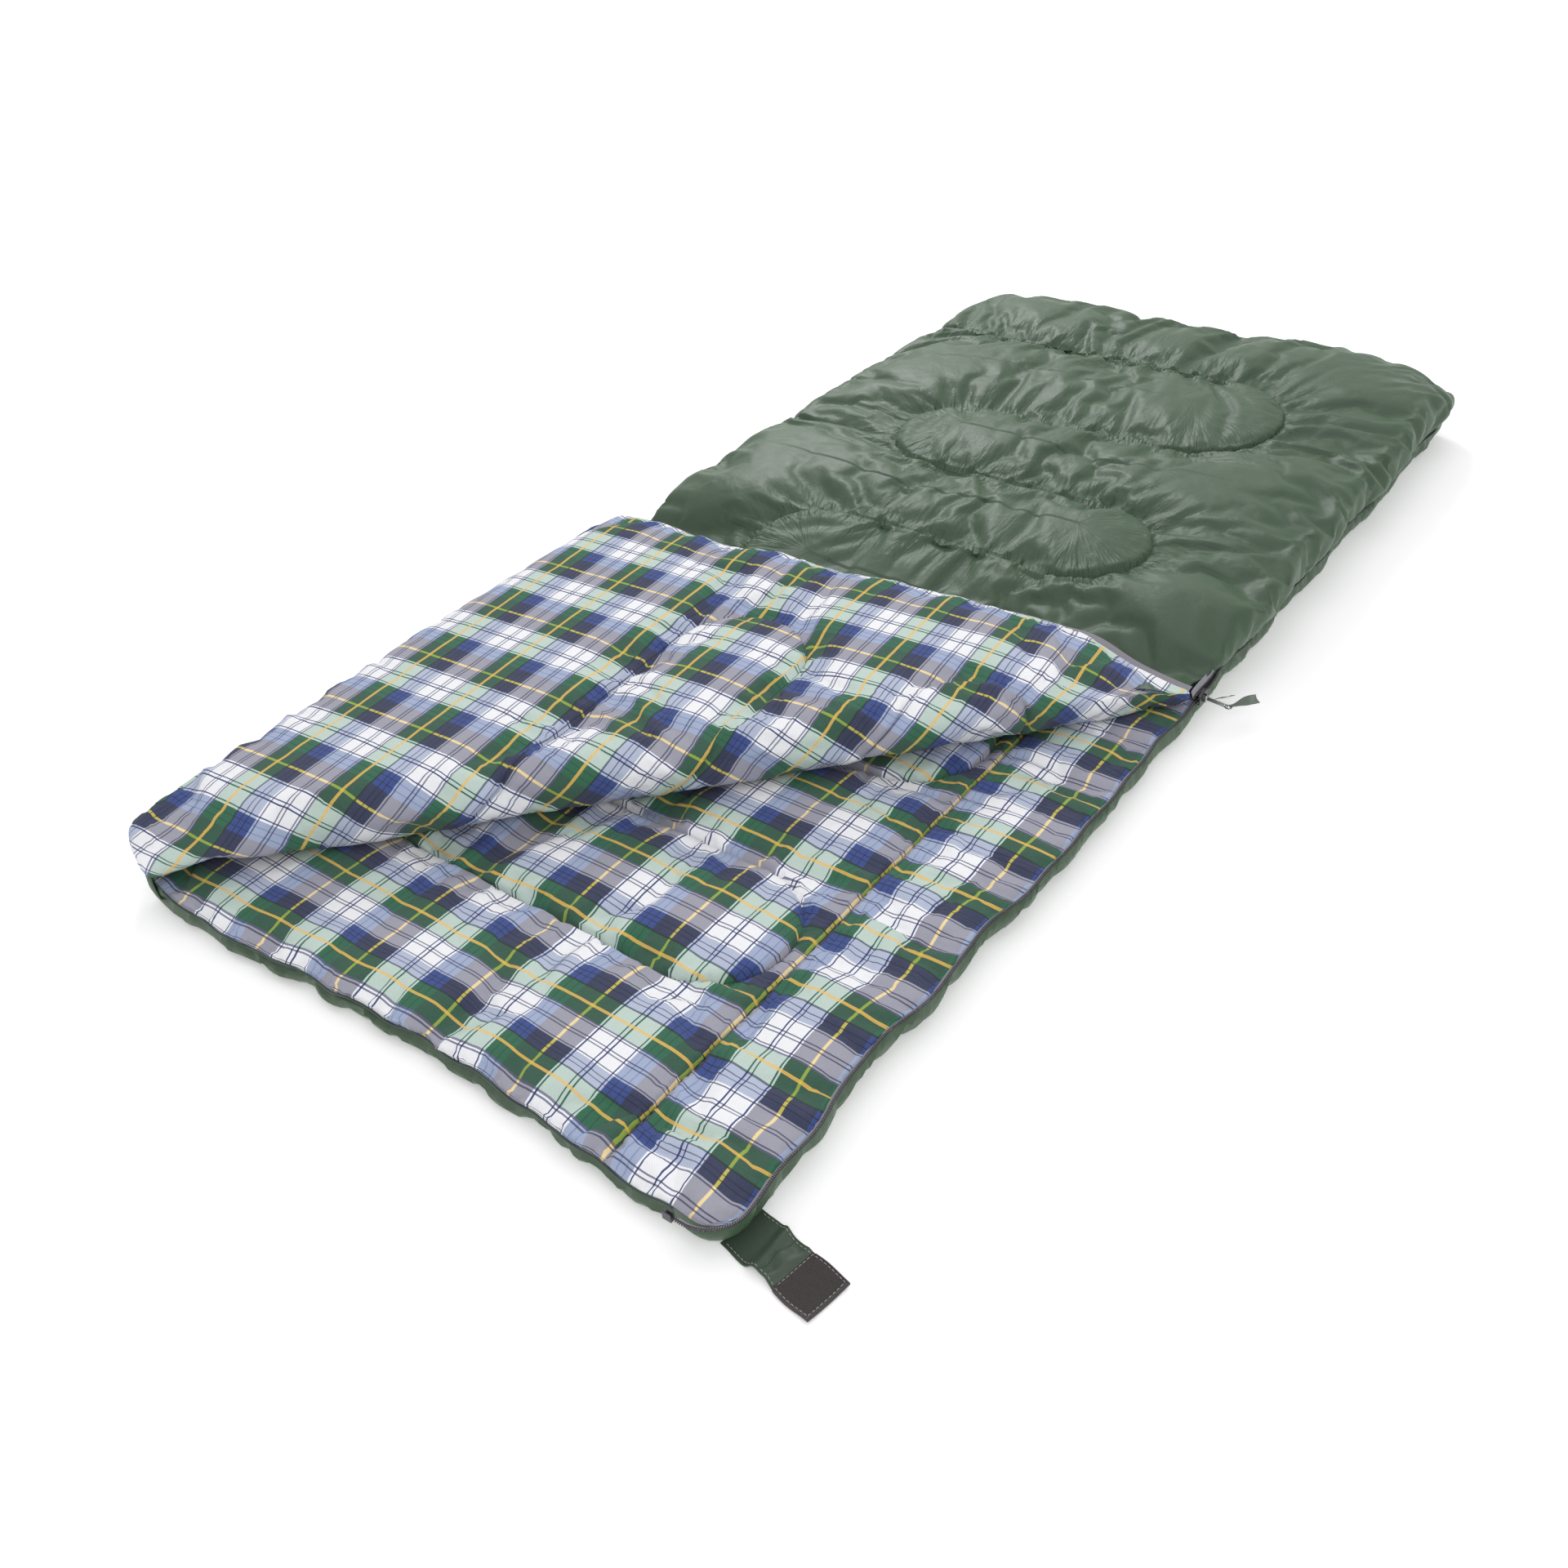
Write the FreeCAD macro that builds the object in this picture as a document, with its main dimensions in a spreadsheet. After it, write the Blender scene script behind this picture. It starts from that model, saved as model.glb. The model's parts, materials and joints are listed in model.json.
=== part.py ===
import FreeCAD, Part
import math
import os

import Sketcher

# Rectangular sleeping bag: a padded quilt folded along its left side, with a zip along the right side
# and round the foot end. The head end of the top layer is laid open, folded back along a diagonal.
#
# Row frame, millimetres: origin on the underside at the middle of the bag, +X to the zip side,
# +Y to the foot end, +Z up. The "bag frame" used below has its origin at the head end's left corner,
# so that every outline has positive sizes; BAG moves it into the row frame.
# The flap's pieces are modelled closed, lying over the bottom layer, and LAID_OPEN turns them half a
# turn about the fold line.

DIMENSIONS = [
    ("width", 838, "across the bag, 33 in"),
    ("length", 1905, "head to foot, 75 in"),
    ("loft", 40, "thickness of one padded layer"),
    ("layer_gap", 2, "between the layers"),
    ("cloth", 1.2, "shell or lining cloth"),
    ("slack", 0.2, "between a cloth and what it covers"),
    ("corner", 45, "plan radius of the bag's corners"),
    ("edge_round", 14, "radius of a padded edge"),
    ("hem", 25, "shell turned over at the head edge"),
    ("lining_seam", 694, "left side to the seam between the lining's two widths"),
    ("thread", 0.8, "quilting thread"),
    ("fold_left", 15, "head edge to the fold line at the left side"),
    ("fold_right", 915, "head edge to the fold line at the zip side"),
    ("fold_gap", 1.5, "fold line to each layer's end, along the bag"),
    ("flap_start", 40, "left side to the start of the flap"),
    ("roll_start", 30, "fold line's left end to the rolled fold"),
    ("roll_end", 60, "rolled fold to the fold line's right end"),
    ("crown_rise", 28, "how far the closed foot part swells above the flap's level"),
    ("crown_inset", 45, "side of the bag to the swell"),
    ("crown_start", 990, "head edge to the swell"),
    ("crown_round", 22, "radius of the swell's edge"),
    ("quilt_side", 165, "side of the bag to the quilting's U-turns"),
    ("quilt_row_1", 225, "head edge to each quilting row"),
    ("quilt_row_2", 405, ""),
    ("quilt_row_3", 612, ""),
    ("quilt_row_4", 820, ""),
    ("quilt_row_5", 1022, ""),
    ("quilt_row_6", 1225, ""),
    ("quilt_row_7", 1435, ""),
    ("quilt_row_8", 1712, ""),
    ("flap_row_1", 340, "head edge to each quilting row of the flap"),
    ("flap_row_2", 514, ""),
    ("tape", 0.8, "zip tape"),
    ("tape_out", 5.4, "bag's side to the tape's outer face"),
    ("tape_low", 13, "tape's sewn edge to the middle of the zip"),
    ("coil_wide", 3.2, "zip coil, across the tape"),
    ("coil_high", 2.4, "zip coil, one half"),
    ("coil_gap", 2, "between the two halves"),
    ("flap_zip_end", 885, "head edge to the end of the flap's zip half"),
    ("top_zip_start", 955, "head edge to the start of the closed part's zip half"),
    ("zip_end", 24, "left side to the end of the foot zip"),
    ("slider_at", 935, "head edge to the slider"),
    ("slider_long", 24, "slider, along the zip"),
    ("slider_high", 14, "slider, across the zip"),
    ("slider_deep", 7.4, "slider, back plate to front plate"),
    ("slider_plate", 1.4, "slider's plates"),
    ("slider_post", 1.2, "wedge between the two coils"),
    ("bail_out", 2.7, "slider's front plate to the pull tab's pivot"),
    ("bail_wire", 1, "radius of the pivot bar"),
    ("pull_long", 30, "pull tab, pivot to tip"),
    ("pull_wide", 5, "pull tab"),
    ("pull_thick", 1.2, "pull tab"),
    ("pull_hole_in", 3.5, "pull tab's tip to its hole"),
    ("pull_hole", 1.8, "radius of the pull tab's hole"),
    ("pull_angle", 8, "pull tab, degrees towards the head from straight out"),
    ("ring_radius", 4, "pull ring, to the middle of its wire"),
    ("ring_wire", 0.6, "radius of the pull ring's wire"),
    ("ribbon_turn", 70, "degrees round the ring from the tab to the ribbon"),
    ("ribbon_droop", 20, "degrees below level"),
    ("ribbon_long", 42, "pull ribbon"),
    ("ribbon_wide", 11, "pull ribbon"),
    ("ribbon_thick", 0.8, "pull ribbon"),
    ("strap_wide", 50, "keeper strap, 2 in"),
    ("strap_thick", 1.6, "keeper strap"),
    ("strap_sewn", 18, "keeper strap's sewn end"),
    ("strap_root_long", 41, "sewn end to the crease"),
    ("strap_tip_long", 38, "crease to the tip"),
    ("strap_crease", 0.6, "clearance at each bend"),
    ("strap_along", 38, "head edge to the strap's middle"),
    ("strap_out", 11, "bag's side to the strap's first bend"),
    ("strap_angle", 10, "strap, degrees towards the head from straight out"),
    ("patch_thick", 0.9, "hook patch or loop patch"),
    ("patch_inset", 3, "strap's edge to the hook patch"),
    ("patch_long", 34, "hook patch or loop patch, along the strap"),
]

FULL_TURN = 360
HALF_TURN = 180
QUARTER_TURN = 90
TOLERANCE = 1e-4

doc = FreeCAD.newDocument("sleeping_bag")
sheet = doc.addObject("Spreadsheet::Sheet", "Dims")
for row, (alias, number, note) in enumerate(DIMENSIONS, start=1):
    sheet.set(f"A{row}", alias)
    sheet.set(f"B{row}", str(number))
    sheet.setAlias(f"B{row}", alias)
    sheet.set(f"C{row}", note)
doc.recompute()


class Size:
    """A length that carries both its value and its formula in the sheet's aliases."""

    def __init__(self, value, text):
        self.value = value
        self.text = text

    def __add__(self, other):
        other = as_size(other)
        return Size(self.value + other.value, f"({self.text} + {other.text})")

    def __sub__(self, other):
        other = as_size(other)
        return Size(self.value - other.value, f"({self.text} - {other.text})")

    def __mul__(self, factor):
        return Size(self.value * factor, f"({self.text} * {factor})")

    def __truediv__(self, factor):
        return Size(self.value / factor, f"({self.text} / {factor})")


def as_size(value):
    """A plain number as a Size; a Size stays as it is."""
    return value if isinstance(value, Size) else Size(float(value), repr(float(value)))


D = {alias: Size(float(sheet.get(alias)), f"Dims.{alias}") for alias, number, note in DIMENSIONS}

WIDTH = D["width"]
LENGTH = D["length"]
CLOTH = D["cloth"]
TOP_UNDER = D["loft"] + D["layer_gap"]
TOP_OVER = TOP_UNDER + D["loft"]
ZIP_MIDDLE = D["loft"] + D["layer_gap"] / 2
FOLD_LEVEL = TOP_OVER + D["layer_gap"] / 2
FOLD_SLOPE = (D["fold_right"].value - D["fold_left"].value) / WIDTH.value
FOLD_ANGLE = math.atan(FOLD_SLOPE)
FOLD_LENGTH = WIDTH.value / math.cos(FOLD_ANGLE)

ALONG_FOLD = FreeCAD.Vector(math.cos(FOLD_ANGLE), math.sin(FOLD_ANGLE), 0)
OFF_FOLD = FreeCAD.Vector(math.sin(FOLD_ANGLE), -math.cos(FOLD_ANGLE), 0)
UP = FreeCAD.Vector(0, 0, 1)

BAG = FreeCAD.Placement(FreeCAD.Vector(-WIDTH.value / 2, -LENGTH.value / 2, 0), FreeCAD.Rotation())
FOLD_POINT = BAG.multVec(FreeCAD.Vector(0, D["fold_left"].value, FOLD_LEVEL.value))
LAID_OPEN = FreeCAD.Placement(FreeCAD.Vector(), FreeCAD.Rotation(ALONG_FOLD, HALF_TURN), FOLD_POINT)
FLAP = LAID_OPEN.multiply(BAG)

subparts = []
box_spots = {}


def keep(part, placement):
    """Registers a finished sub-part and puts it in its place."""
    part.Placement = placement
    subparts.append(part)
    return part


# ---------------------------------------------------------------- sketches and solid features


def new_body(label):
    body = doc.addObject("PartDesign::Body", label)
    body.Label = label
    return body


def origin_plane(body, role):
    return next(f for f in body.Origin.OriginFeatures if f.Role == role)


def pin_point(sketch, edge, along_x, along_y):
    """Fixes an edge's start point at two sizes from the sketch's origin."""
    for kind, axis, size in (("DistanceX", -2, along_x), ("DistanceY", -1, along_y)):
        if size.value == 0:
            sketch.addConstraint(Sketcher.Constraint("PointOnObject", edge, 1, axis))
            continue
        index = sketch.addConstraint(Sketcher.Constraint(kind, -1, 1, edge, 1, size.value))
        sketch.setExpression(f"Constraints[{index}]", size.text)


def outline(body, name, corners, level):
    """A closed straight-sided sketch, parallel to the bag, at a height."""
    sketch = body.newObject("Sketcher::SketchObject", name)
    sketch.AttachmentSupport = [(origin_plane(body, "XY_Plane"), "")]
    sketch.MapMode = "FlatFace"
    sketch.setExpression("AttachmentOffset.Base.z", as_size(level).text)
    corners = [(as_size(x), as_size(y)) for x, y in corners]
    points = [FreeCAD.Vector(x.value, y.value, 0) for x, y in corners]
    count = len(points)
    for i, point in enumerate(points):
        sketch.addGeometry(Part.LineSegment(point, points[(i + 1) % count]))
    for i in range(count):
        sketch.addConstraint(Sketcher.Constraint("Coincident", i, 2, (i + 1) % count, 1))
    for i, (x, y) in enumerate(corners):
        pin_point(sketch, i, x, y)
    doc.recompute()
    return sketch


def pad(body, sketch, height):
    feature = body.newObject("PartDesign::Pad", sketch.Name + "_pad")
    feature.Profile = sketch
    feature.setExpression("Length", as_size(height).text)
    doc.recompute()
    sketch.Visibility = False
    return feature


def fillet(body, base, radius, chosen):
    """Rounds the edges of base for which chosen(edge) is true."""
    names = [f"Edge{i}" for i, edge in enumerate(base.Shape.Edges, start=1) if chosen(edge)]
    if not names:
        raise ValueError(f"{body.Label} has no edge to round")
    feature = body.newObject("PartDesign::Fillet", body.Name + "_round")
    feature.Base = (base, names)
    feature.setExpression("Radius", as_size(radius).text)
    doc.recompute()
    return feature


def near(a, b):
    return abs(a - b) < TOLERANCE


def upright_at(spots):
    """True for a vertical edge over one of the plan points."""

    def chosen(edge):
        box = edge.BoundBox
        upright = near(box.XLength, 0) and near(box.YLength, 0)
        return upright and any(near(box.XMin, x.value) and near(box.YMin, y.value) for x, y in spots)

    return chosen


def level_off_fold(level):
    """True for an edge at a height that isn't parallel to the fold line."""

    def chosen(edge):
        box = edge.BoundBox
        if not (near(box.ZMin, level.value) and near(box.ZMax, level.value)):
            return False
        slope = box.YLength / box.XLength if box.XLength > TOLERANCE else 0
        straight = len(edge.Vertexes) == 2 and "Line" in str(edge.Curve)
        return not (straight and abs(slope - FOLD_SLOPE) < TOLERANCE)

    return chosen


def rectangle(x0, y0, x1, y1):
    return [(x0, y0), (x1, y0), (x1, y1), (x0, y1)]


def padded(body, corners, rounded, under, over, inset, puffed_edge):
    """A padded layer: an outline between two heights, its plan corners and one level's edge rounded."""
    solid = pad(body, outline(body, body.Name + "_outline", corners, under), over - under)
    solid = fillet(body, solid, D["corner"] - inset, upright_at(rounded))
    return fillet(body, solid, D["edge_round"] - inset, level_off_fold(puffed_edge))


def crowned(body, under, inset):
    """The foot part's swell, added on top of the layer."""
    edge = D["crown_inset"] + inset
    corners = rectangle(edge, D["crown_start"] + inset, WIDTH - edge, LENGTH - edge)
    solid = pad(body, outline(body, body.Name + "_crown", corners, under), D["crown_rise"])
    solid = fillet(body, solid, D["crown_round"] * 2 - inset, upright_at(corners))
    top = under + D["crown_rise"]
    return fillet(body, solid, D["crown_round"] - inset, level_off_fold(top))


def hollowed(body, base, open_level):
    """Leaves only a cloth's thickness inside base, open at one height and along the fold."""

    def opened(face):
        box = face.BoundBox
        if near(box.ZMin, open_level.value) and near(box.ZMax, open_level.value):
            return True
        flat = face.Surface.TypeId == "Part::GeomPlane"
        return flat and abs(face.normalAt(0, 0).dot(OFF_FOLD)) > 1 - TOLERANCE

    names = [f"Face{i}" for i, face in enumerate(base.Shape.Faces, start=1) if opened(face)]
    feature = body.newObject("PartDesign::Thickness", body.Name + "_cloth")
    feature.Base = (base, names)
    feature.Reversed = True
    feature.setExpression("Value", CLOTH.text)
    doc.recompute()
    return feature


def sheet_of_cloth(label, corners, under, thickness, placement, rounded=(), radius=None):
    """A flat cloth between outline corners, some of them rounded."""
    body = new_body(label)
    solid = pad(body, outline(body, label + "_outline", corners, under), thickness)
    if rounded:
        fillet(body, solid, radius, upright_at(rounded))
    return keep(body, placement)


# ---------------------------------------------------------------- primitives, bound to the sheet


def box(name, x, y, z, long, wide, high):
    solid = doc.addObject("Part::Box", name)
    box_spots[solid.Name] = (as_size(x), as_size(y), as_size(z))
    for prop, size in (("Length", long), ("Width", wide), ("Height", high)):
        solid.setExpression(prop, as_size(size).text)
    for axis, size in (("x", x), ("y", y), ("z", z)):
        solid.setExpression(f"Placement.Base.{axis}", as_size(size).text)
    return solid


def cylinder(name, x, y, z, radius, high, angle=FULL_TURN):
    solid = doc.addObject("Part::Cylinder", name)
    solid.setExpression("Radius", as_size(radius).text)
    solid.setExpression("Height", as_size(high).text)
    solid.Angle = angle
    for axis, size in (("x", x), ("y", y), ("z", z)):
        solid.setExpression(f"Placement.Base.{axis}", as_size(size).text)
    return solid


def turned(solid, axis, degrees):
    """Turns a primitive about its own base point."""
    solid.Placement.Rotation = FreeCAD.Rotation(axis, degrees)
    return solid


def fused(label, solids):
    part = doc.addObject("Part::MultiFuse", label)
    part.Label = label
    part.Shapes = solids
    part.Refine = True
    doc.recompute()
    return part


def cut(label, base, tool):
    part = doc.addObject("Part::Cut", label)
    part.Label = label
    part.Base = base
    part.Tool = tool
    doc.recompute()
    return part


# ---------------------------------------------------------------- bottom layer


def bottom_layer():
    corners = rectangle(0, 0, WIDTH, LENGTH)
    spots = [(as_size(x), as_size(y)) for x, y in corners]
    lining_under = D["loft"] - CLOTH
    wall_top = lining_under - D["slack"]

    shell = new_body("bottom_shell")
    solid = padded(shell, corners, spots, as_size(0), wall_top, as_size(0), as_size(0))
    hollowed(shell, solid, wall_top)
    keep(shell, BAG)

    inset = CLOTH + D["slack"]
    corners = rectangle(inset, inset, WIDTH - inset, LENGTH - inset)
    spots = [(as_size(x), as_size(y)) for x, y in corners]
    fill = new_body("bottom_fill")
    padded(fill, corners, spots, inset, wall_top, inset, inset)
    keep(fill, BAG)

    seam_left = D["lining_seam"] - D["slack"]
    seam_right = D["lining_seam"] + D["slack"]
    far = LENGTH - D["slack"]
    side = WIDTH - D["slack"]
    left_corners = rectangle(D["slack"], D["hem"], seam_left, far)
    beside_strip = [(D["slack"], far)]
    sheet_of_cloth("bottom_lining", left_corners, lining_under, CLOTH, BAG, beside_strip, D["corner"])
    right_corners = rectangle(seam_right, D["hem"], side, far)
    sheet_of_cloth(
        "bottom_lining_strip",
        right_corners,
        lining_under,
        CLOTH,
        BAG,
        [(side, far), (side, D["hem"])],
        D["corner"],
    )
    seam_wide = D["thread"] * 1.5
    seam = box(
        "lining_seam_thread",
        D["lining_seam"] - seam_wide / 2,
        D["hem"] + D["thread"],
        D["loft"] + D["slack"] / 4,
        seam_wide,
        far - D["hem"] - D["thread"] * 2,
        D["thread"],
    )
    place_box(seam)


def place_box(solid):
    """Registers a box and moves it from the bag frame into the row frame, still bound to the sheet."""
    x, y, z = box_spots[solid.Name]
    solid.setExpression("Placement.Base.x", (x - WIDTH / 2).text)
    solid.setExpression("Placement.Base.y", (y - LENGTH / 2).text)
    subparts.append(solid)


# ---------------------------------------------------------------- top layer: closed part and flap


def fold_side(x, sign, inset):
    """The point at x on the end of a layer at the fold: sign 1 is the closed part's side, -1 the flap's."""
    slope = (D["fold_right"] - D["fold_left"]) / WIDTH.value
    along = D["fold_left"] + slope * as_size(x).value
    shift = D["fold_gap"] + inset / math.cos(FOLD_ANGLE)
    return (as_size(x), along + shift if sign > 0 else along - shift)


def closed_outline(inset):
    return [
        fold_side(inset, 1, inset),
        fold_side(WIDTH - inset, 1, inset),
        (WIDTH - inset, LENGTH - inset),
        (inset, LENGTH - inset),
    ]


def flap_outline(inset, head):
    start = D["flap_start"] + inset
    return [
        (start, head),
        (WIDTH - inset, head),
        fold_side(WIDTH - inset, -1, inset),
        fold_side(start, -1, inset),
    ]


def top_layer():
    none = as_size(0)
    wall_low = TOP_UNDER + CLOTH + D["slack"]
    inset = CLOTH + D["slack"]
    fill_top = TOP_OVER - inset

    shell = new_body("top_shell")
    corners = closed_outline(none)
    padded(shell, corners, corners[2:], wall_low, TOP_OVER, none, TOP_OVER)
    solid = crowned(shell, TOP_OVER, none)
    hollowed(shell, solid, wall_low)
    keep(shell, BAG)

    fill = new_body("top_fill")
    corners = closed_outline(inset)
    padded(fill, corners, corners[2:], wall_low, fill_top, inset, fill_top)
    crowned(fill, fill_top, inset)
    keep(fill, BAG)

    corners = closed_outline(D["slack"])
    sheet_of_cloth("top_lining", corners, TOP_UNDER, CLOTH, BAG, corners[2:], D["corner"])

    shell = new_body("flap_shell")
    corners = flap_outline(none, none)
    solid = padded(shell, corners, corners[1:2], wall_low, TOP_OVER, none, TOP_OVER)
    hollowed(shell, solid, wall_low)
    keep(shell, FLAP)

    fill = new_body("flap_fill")
    corners = flap_outline(inset, inset)
    padded(fill, corners, corners[1:2], wall_low, fill_top, inset, fill_top)
    keep(fill, FLAP)

    corners = flap_outline(D["slack"], D["hem"])
    sheet_of_cloth("flap_lining", corners, TOP_UNDER, CLOTH, FLAP, corners[1:2], D["corner"])


def fold_roll():
    """The layer where it rolls over the fold: half tubes about the fold line, on its open side."""
    outer = FOLD_LEVEL - TOP_UNDER
    inner = D["layer_gap"] / 2 + CLOTH
    long = as_size(FOLD_LENGTH) - D["roll_start"] - D["roll_end"]
    layers = [
        ("fold_lining", outer, outer - CLOTH),
        ("fold_fill", outer - CLOTH - D["slack"], inner + D["slack"]),
        ("fold_shell", inner, inner - CLOTH + D["slack"]),
    ]
    rotation = FreeCAD.Rotation(UP, OFF_FOLD, ALONG_FOLD, "XYZ")
    start = FOLD_POINT + ALONG_FOLD * D["roll_start"].value
    for label, big, small in layers:
        whole = cylinder(label + "_whole", 0, 0, 0, big, long, HALF_TURN)
        core = cylinder(label + "_core", 0, 0, 0, small, long)
        keep(cut(label, whole, core), FreeCAD.Placement(start, rotation))


# ---------------------------------------------------------------- quilting thread


def serpentine(rows, starts, level):
    """A thread through straight rows joined by half-circle U-turns, right first, at a height.

    starts gives the left end of a row that no U-turn joins to another row there.
    """
    side = D["quilt_side"].value
    edges = []
    for i, along in enumerate(rows):
        gap_after = rows[i + 1] - along if i + 1 < len(rows) else 0
        gap_before = along - rows[i - 1] if i else 0
        towards_right = i % 2 == 0
        right_gap, left_gap = (gap_after, gap_before) if towards_right else (gap_before, gap_after)
        right = WIDTH.value - side - right_gap / 2
        left = side + left_gap / 2 if left_gap else starts[i]
        start, stop = (left, right) if towards_right else (right, left)
        first = FreeCAD.Vector(start, along, level)
        last = FreeCAD.Vector(stop, along, level)
        edges.append(Part.LineSegment(first, last).toShape())
        if gap_after:
            bulge = gap_after / 2 if towards_right else -gap_after / 2
            middle = FreeCAD.Vector(stop + bulge, along + gap_after / 2, level)
            after = FreeCAD.Vector(stop, along + gap_after, level)
            edges.append(Part.Arc(last, middle, after).toShape())
    path = Part.Wire(edges)
    begin = edges[0].valueAt(edges[0].FirstParameter)
    heading = edges[0].tangentAt(edges[0].FirstParameter)
    ring = Part.Wire([Part.Circle(begin, heading, D["thread"].value / 2).toShape()])
    return path.makePipeShell([ring], True, False)


def quilting(label, rows, starts, level, placement):
    thread = doc.addObject("Part::Feature", label)
    thread.Label = label
    thread.Shape = serpentine(rows, starts, level)
    keep(thread, placement)


def all_quilting():
    lift = D["thread"].value / 2 + D["slack"].value / 4
    side = D["quilt_side"].value
    rows = [D[f"quilt_row_{i}"].value for i in range(1, 9)]
    quilting("bottom_quilting", rows, [side] * len(rows), D["loft"].value + lift, BAG)

    closed_rows = rows[4:]
    crown_top = TOP_OVER.value + D["crown_rise"].value
    quilting("top_quilting", closed_rows, [side] * len(closed_rows), crown_top + lift, BAG)

    flap_rows = [D["flap_row_1"].value, D["flap_row_2"].value]
    margin = side / 4
    starts = [(along - D["fold_left"].value) / FOLD_SLOPE + margin for along in flap_rows]
    quilting("flap_quilting", flap_rows, starts, TOP_OVER.value + lift, FLAP)


# ---------------------------------------------------------------- zip


def rail(name, inner, thickness, low, high, start, end, head_arc, foot_run):
    """A strip that follows the zip: round the head corner, along the side, round the foot corner."""
    reach = inner + thickness
    radius = D["corner"]
    solids = [box(name + "_side", WIDTH + inner, start, low, thickness, end - start, high)]

    def quarter(tag, centre_y, turn):
        big = cylinder(name + tag + "_big", 0, 0, 0, radius + reach, high, QUARTER_TURN)
        small = cylinder(name + tag + "_small", 0, 0, 0, radius + inner, high)
        arc = cut(name + tag, big, small)
        base = FreeCAD.Vector((WIDTH - radius).value, centre_y.value, low.value)
        arc.Placement = FreeCAD.Placement(base, FreeCAD.Rotation(UP, turn))
        return arc

    if head_arc:
        solids.append(quarter("_head", radius, -QUARTER_TURN))
    if foot_run:
        solids.append(quarter("_foot", LENGTH - radius, 0))
        run = WIDTH - radius - D["zip_end"]
        solids.append(box(name + "_run", D["zip_end"], LENGTH + inner, low, run, thickness, high))
    return solids


def zip_half(label, side, start, end, head_arc, foot_run, placement):
    """One half of the zip: side -1 is below the zip's middle, 1 above it. The tape has a sewn foot."""
    half_gap = D["coil_gap"] / 2
    upright_high = D["tape_low"] - half_gap
    coil_inner = D["tape_out"] - D["tape"] / 2 - D["coil_wide"] / 2
    if side < 0:
        upright_low = ZIP_MIDDLE - D["tape_low"]
        foot_low = upright_low
        coil_low = ZIP_MIDDLE - half_gap - D["coil_high"]
        tape_low = upright_low
    else:
        tape_low = ZIP_MIDDLE + half_gap + D["coil_high"]
        foot_low = ZIP_MIDDLE + D["tape_low"] - D["tape"]
        coil_low = ZIP_MIDDLE + half_gap
    tape_high = upright_high - D["coil_high"]
    ends = (start, end, head_arc, foot_run)
    upright = rail(label + "_tape_up", D["tape_out"] - D["tape"], D["tape"], tape_low, tape_high, *ends)
    sewn = rail(label + "_tape_foot", D["slack"], D["tape_out"] - D["slack"], foot_low, D["tape"], *ends)
    keep(fused(label + "_zip_tape", upright + sewn), placement)
    coil = rail(label + "_coil", coil_inner, D["coil_wide"], coil_low, D["coil_high"], *ends)
    if len(coil) > 1:
        keep(fused(label + "_zip_coil", coil), placement)
        return
    coil[0].Label = label + "_zip_coil"
    place_box(coil[0])


def zip_ends():
    """The retaining box and pin at the head end, and the stop at the end of the foot zip."""
    plane = D["tape_out"] - D["tape"] / 2
    box_long = D["coil_wide"] * 3
    box_deep = D["coil_wide"] * 1.5
    inside = D["coil_wide"] * 0.9
    box_high = D["coil_high"] * 4
    floor = D["coil_high"]
    at = WIDTH - D["corner"] - D["slack"] - box_long
    low = ZIP_MIDDLE - D["coil_high"] * 2
    front = as_size(0) - plane - box_deep / 2
    outer = box("retainer_outer", at, front, low, box_long, box_deep, box_high)
    open_top = box_high - floor + D["slack"]
    slot_low = ZIP_MIDDLE - D["coil_gap"] / 2
    slot_front = as_size(0) - plane - inside / 2
    slot = box("retainer_slot", at - 1, slot_front, slot_low, box_long + 2, inside, open_top)
    keep(cut("zip_retainer_box", outer, slot), BAG)

    pin_wide = inside / 2
    pin_low = ZIP_MIDDLE + D["coil_gap"] / 2
    pin = box(
        "pin_bar",
        at,
        as_size(0) - plane - pin_wide / 2,
        pin_low,
        box_long - D["slack"],
        pin_wide,
        D["coil_high"] * 0.8,
    )
    collar_low = pin_low + D["coil_high"] * 0.8
    collar = box(
        "pin_collar",
        at + box_long / 2,
        as_size(0) - plane - D["tape"] / 2,
        collar_low,
        box_long / 2 - D["slack"],
        D["tape"],
        D["coil_high"],
    )
    keep(fused("zip_insert_pin", [pin, collar]), FLAP)

    stop_wide = D["coil_wide"] * 1.5
    stop_low = ZIP_MIDDLE - D["coil_high"] * 1.5
    stop = box(
        "zip_end_stop",
        D["zip_end"] - D["slack"] - stop_wide,
        LENGTH + D["slack"],
        stop_low,
        stop_wide,
        D["tape_out"] + D["tape"],
        D["coil_high"] * 3,
    )
    place_box(stop)


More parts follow.
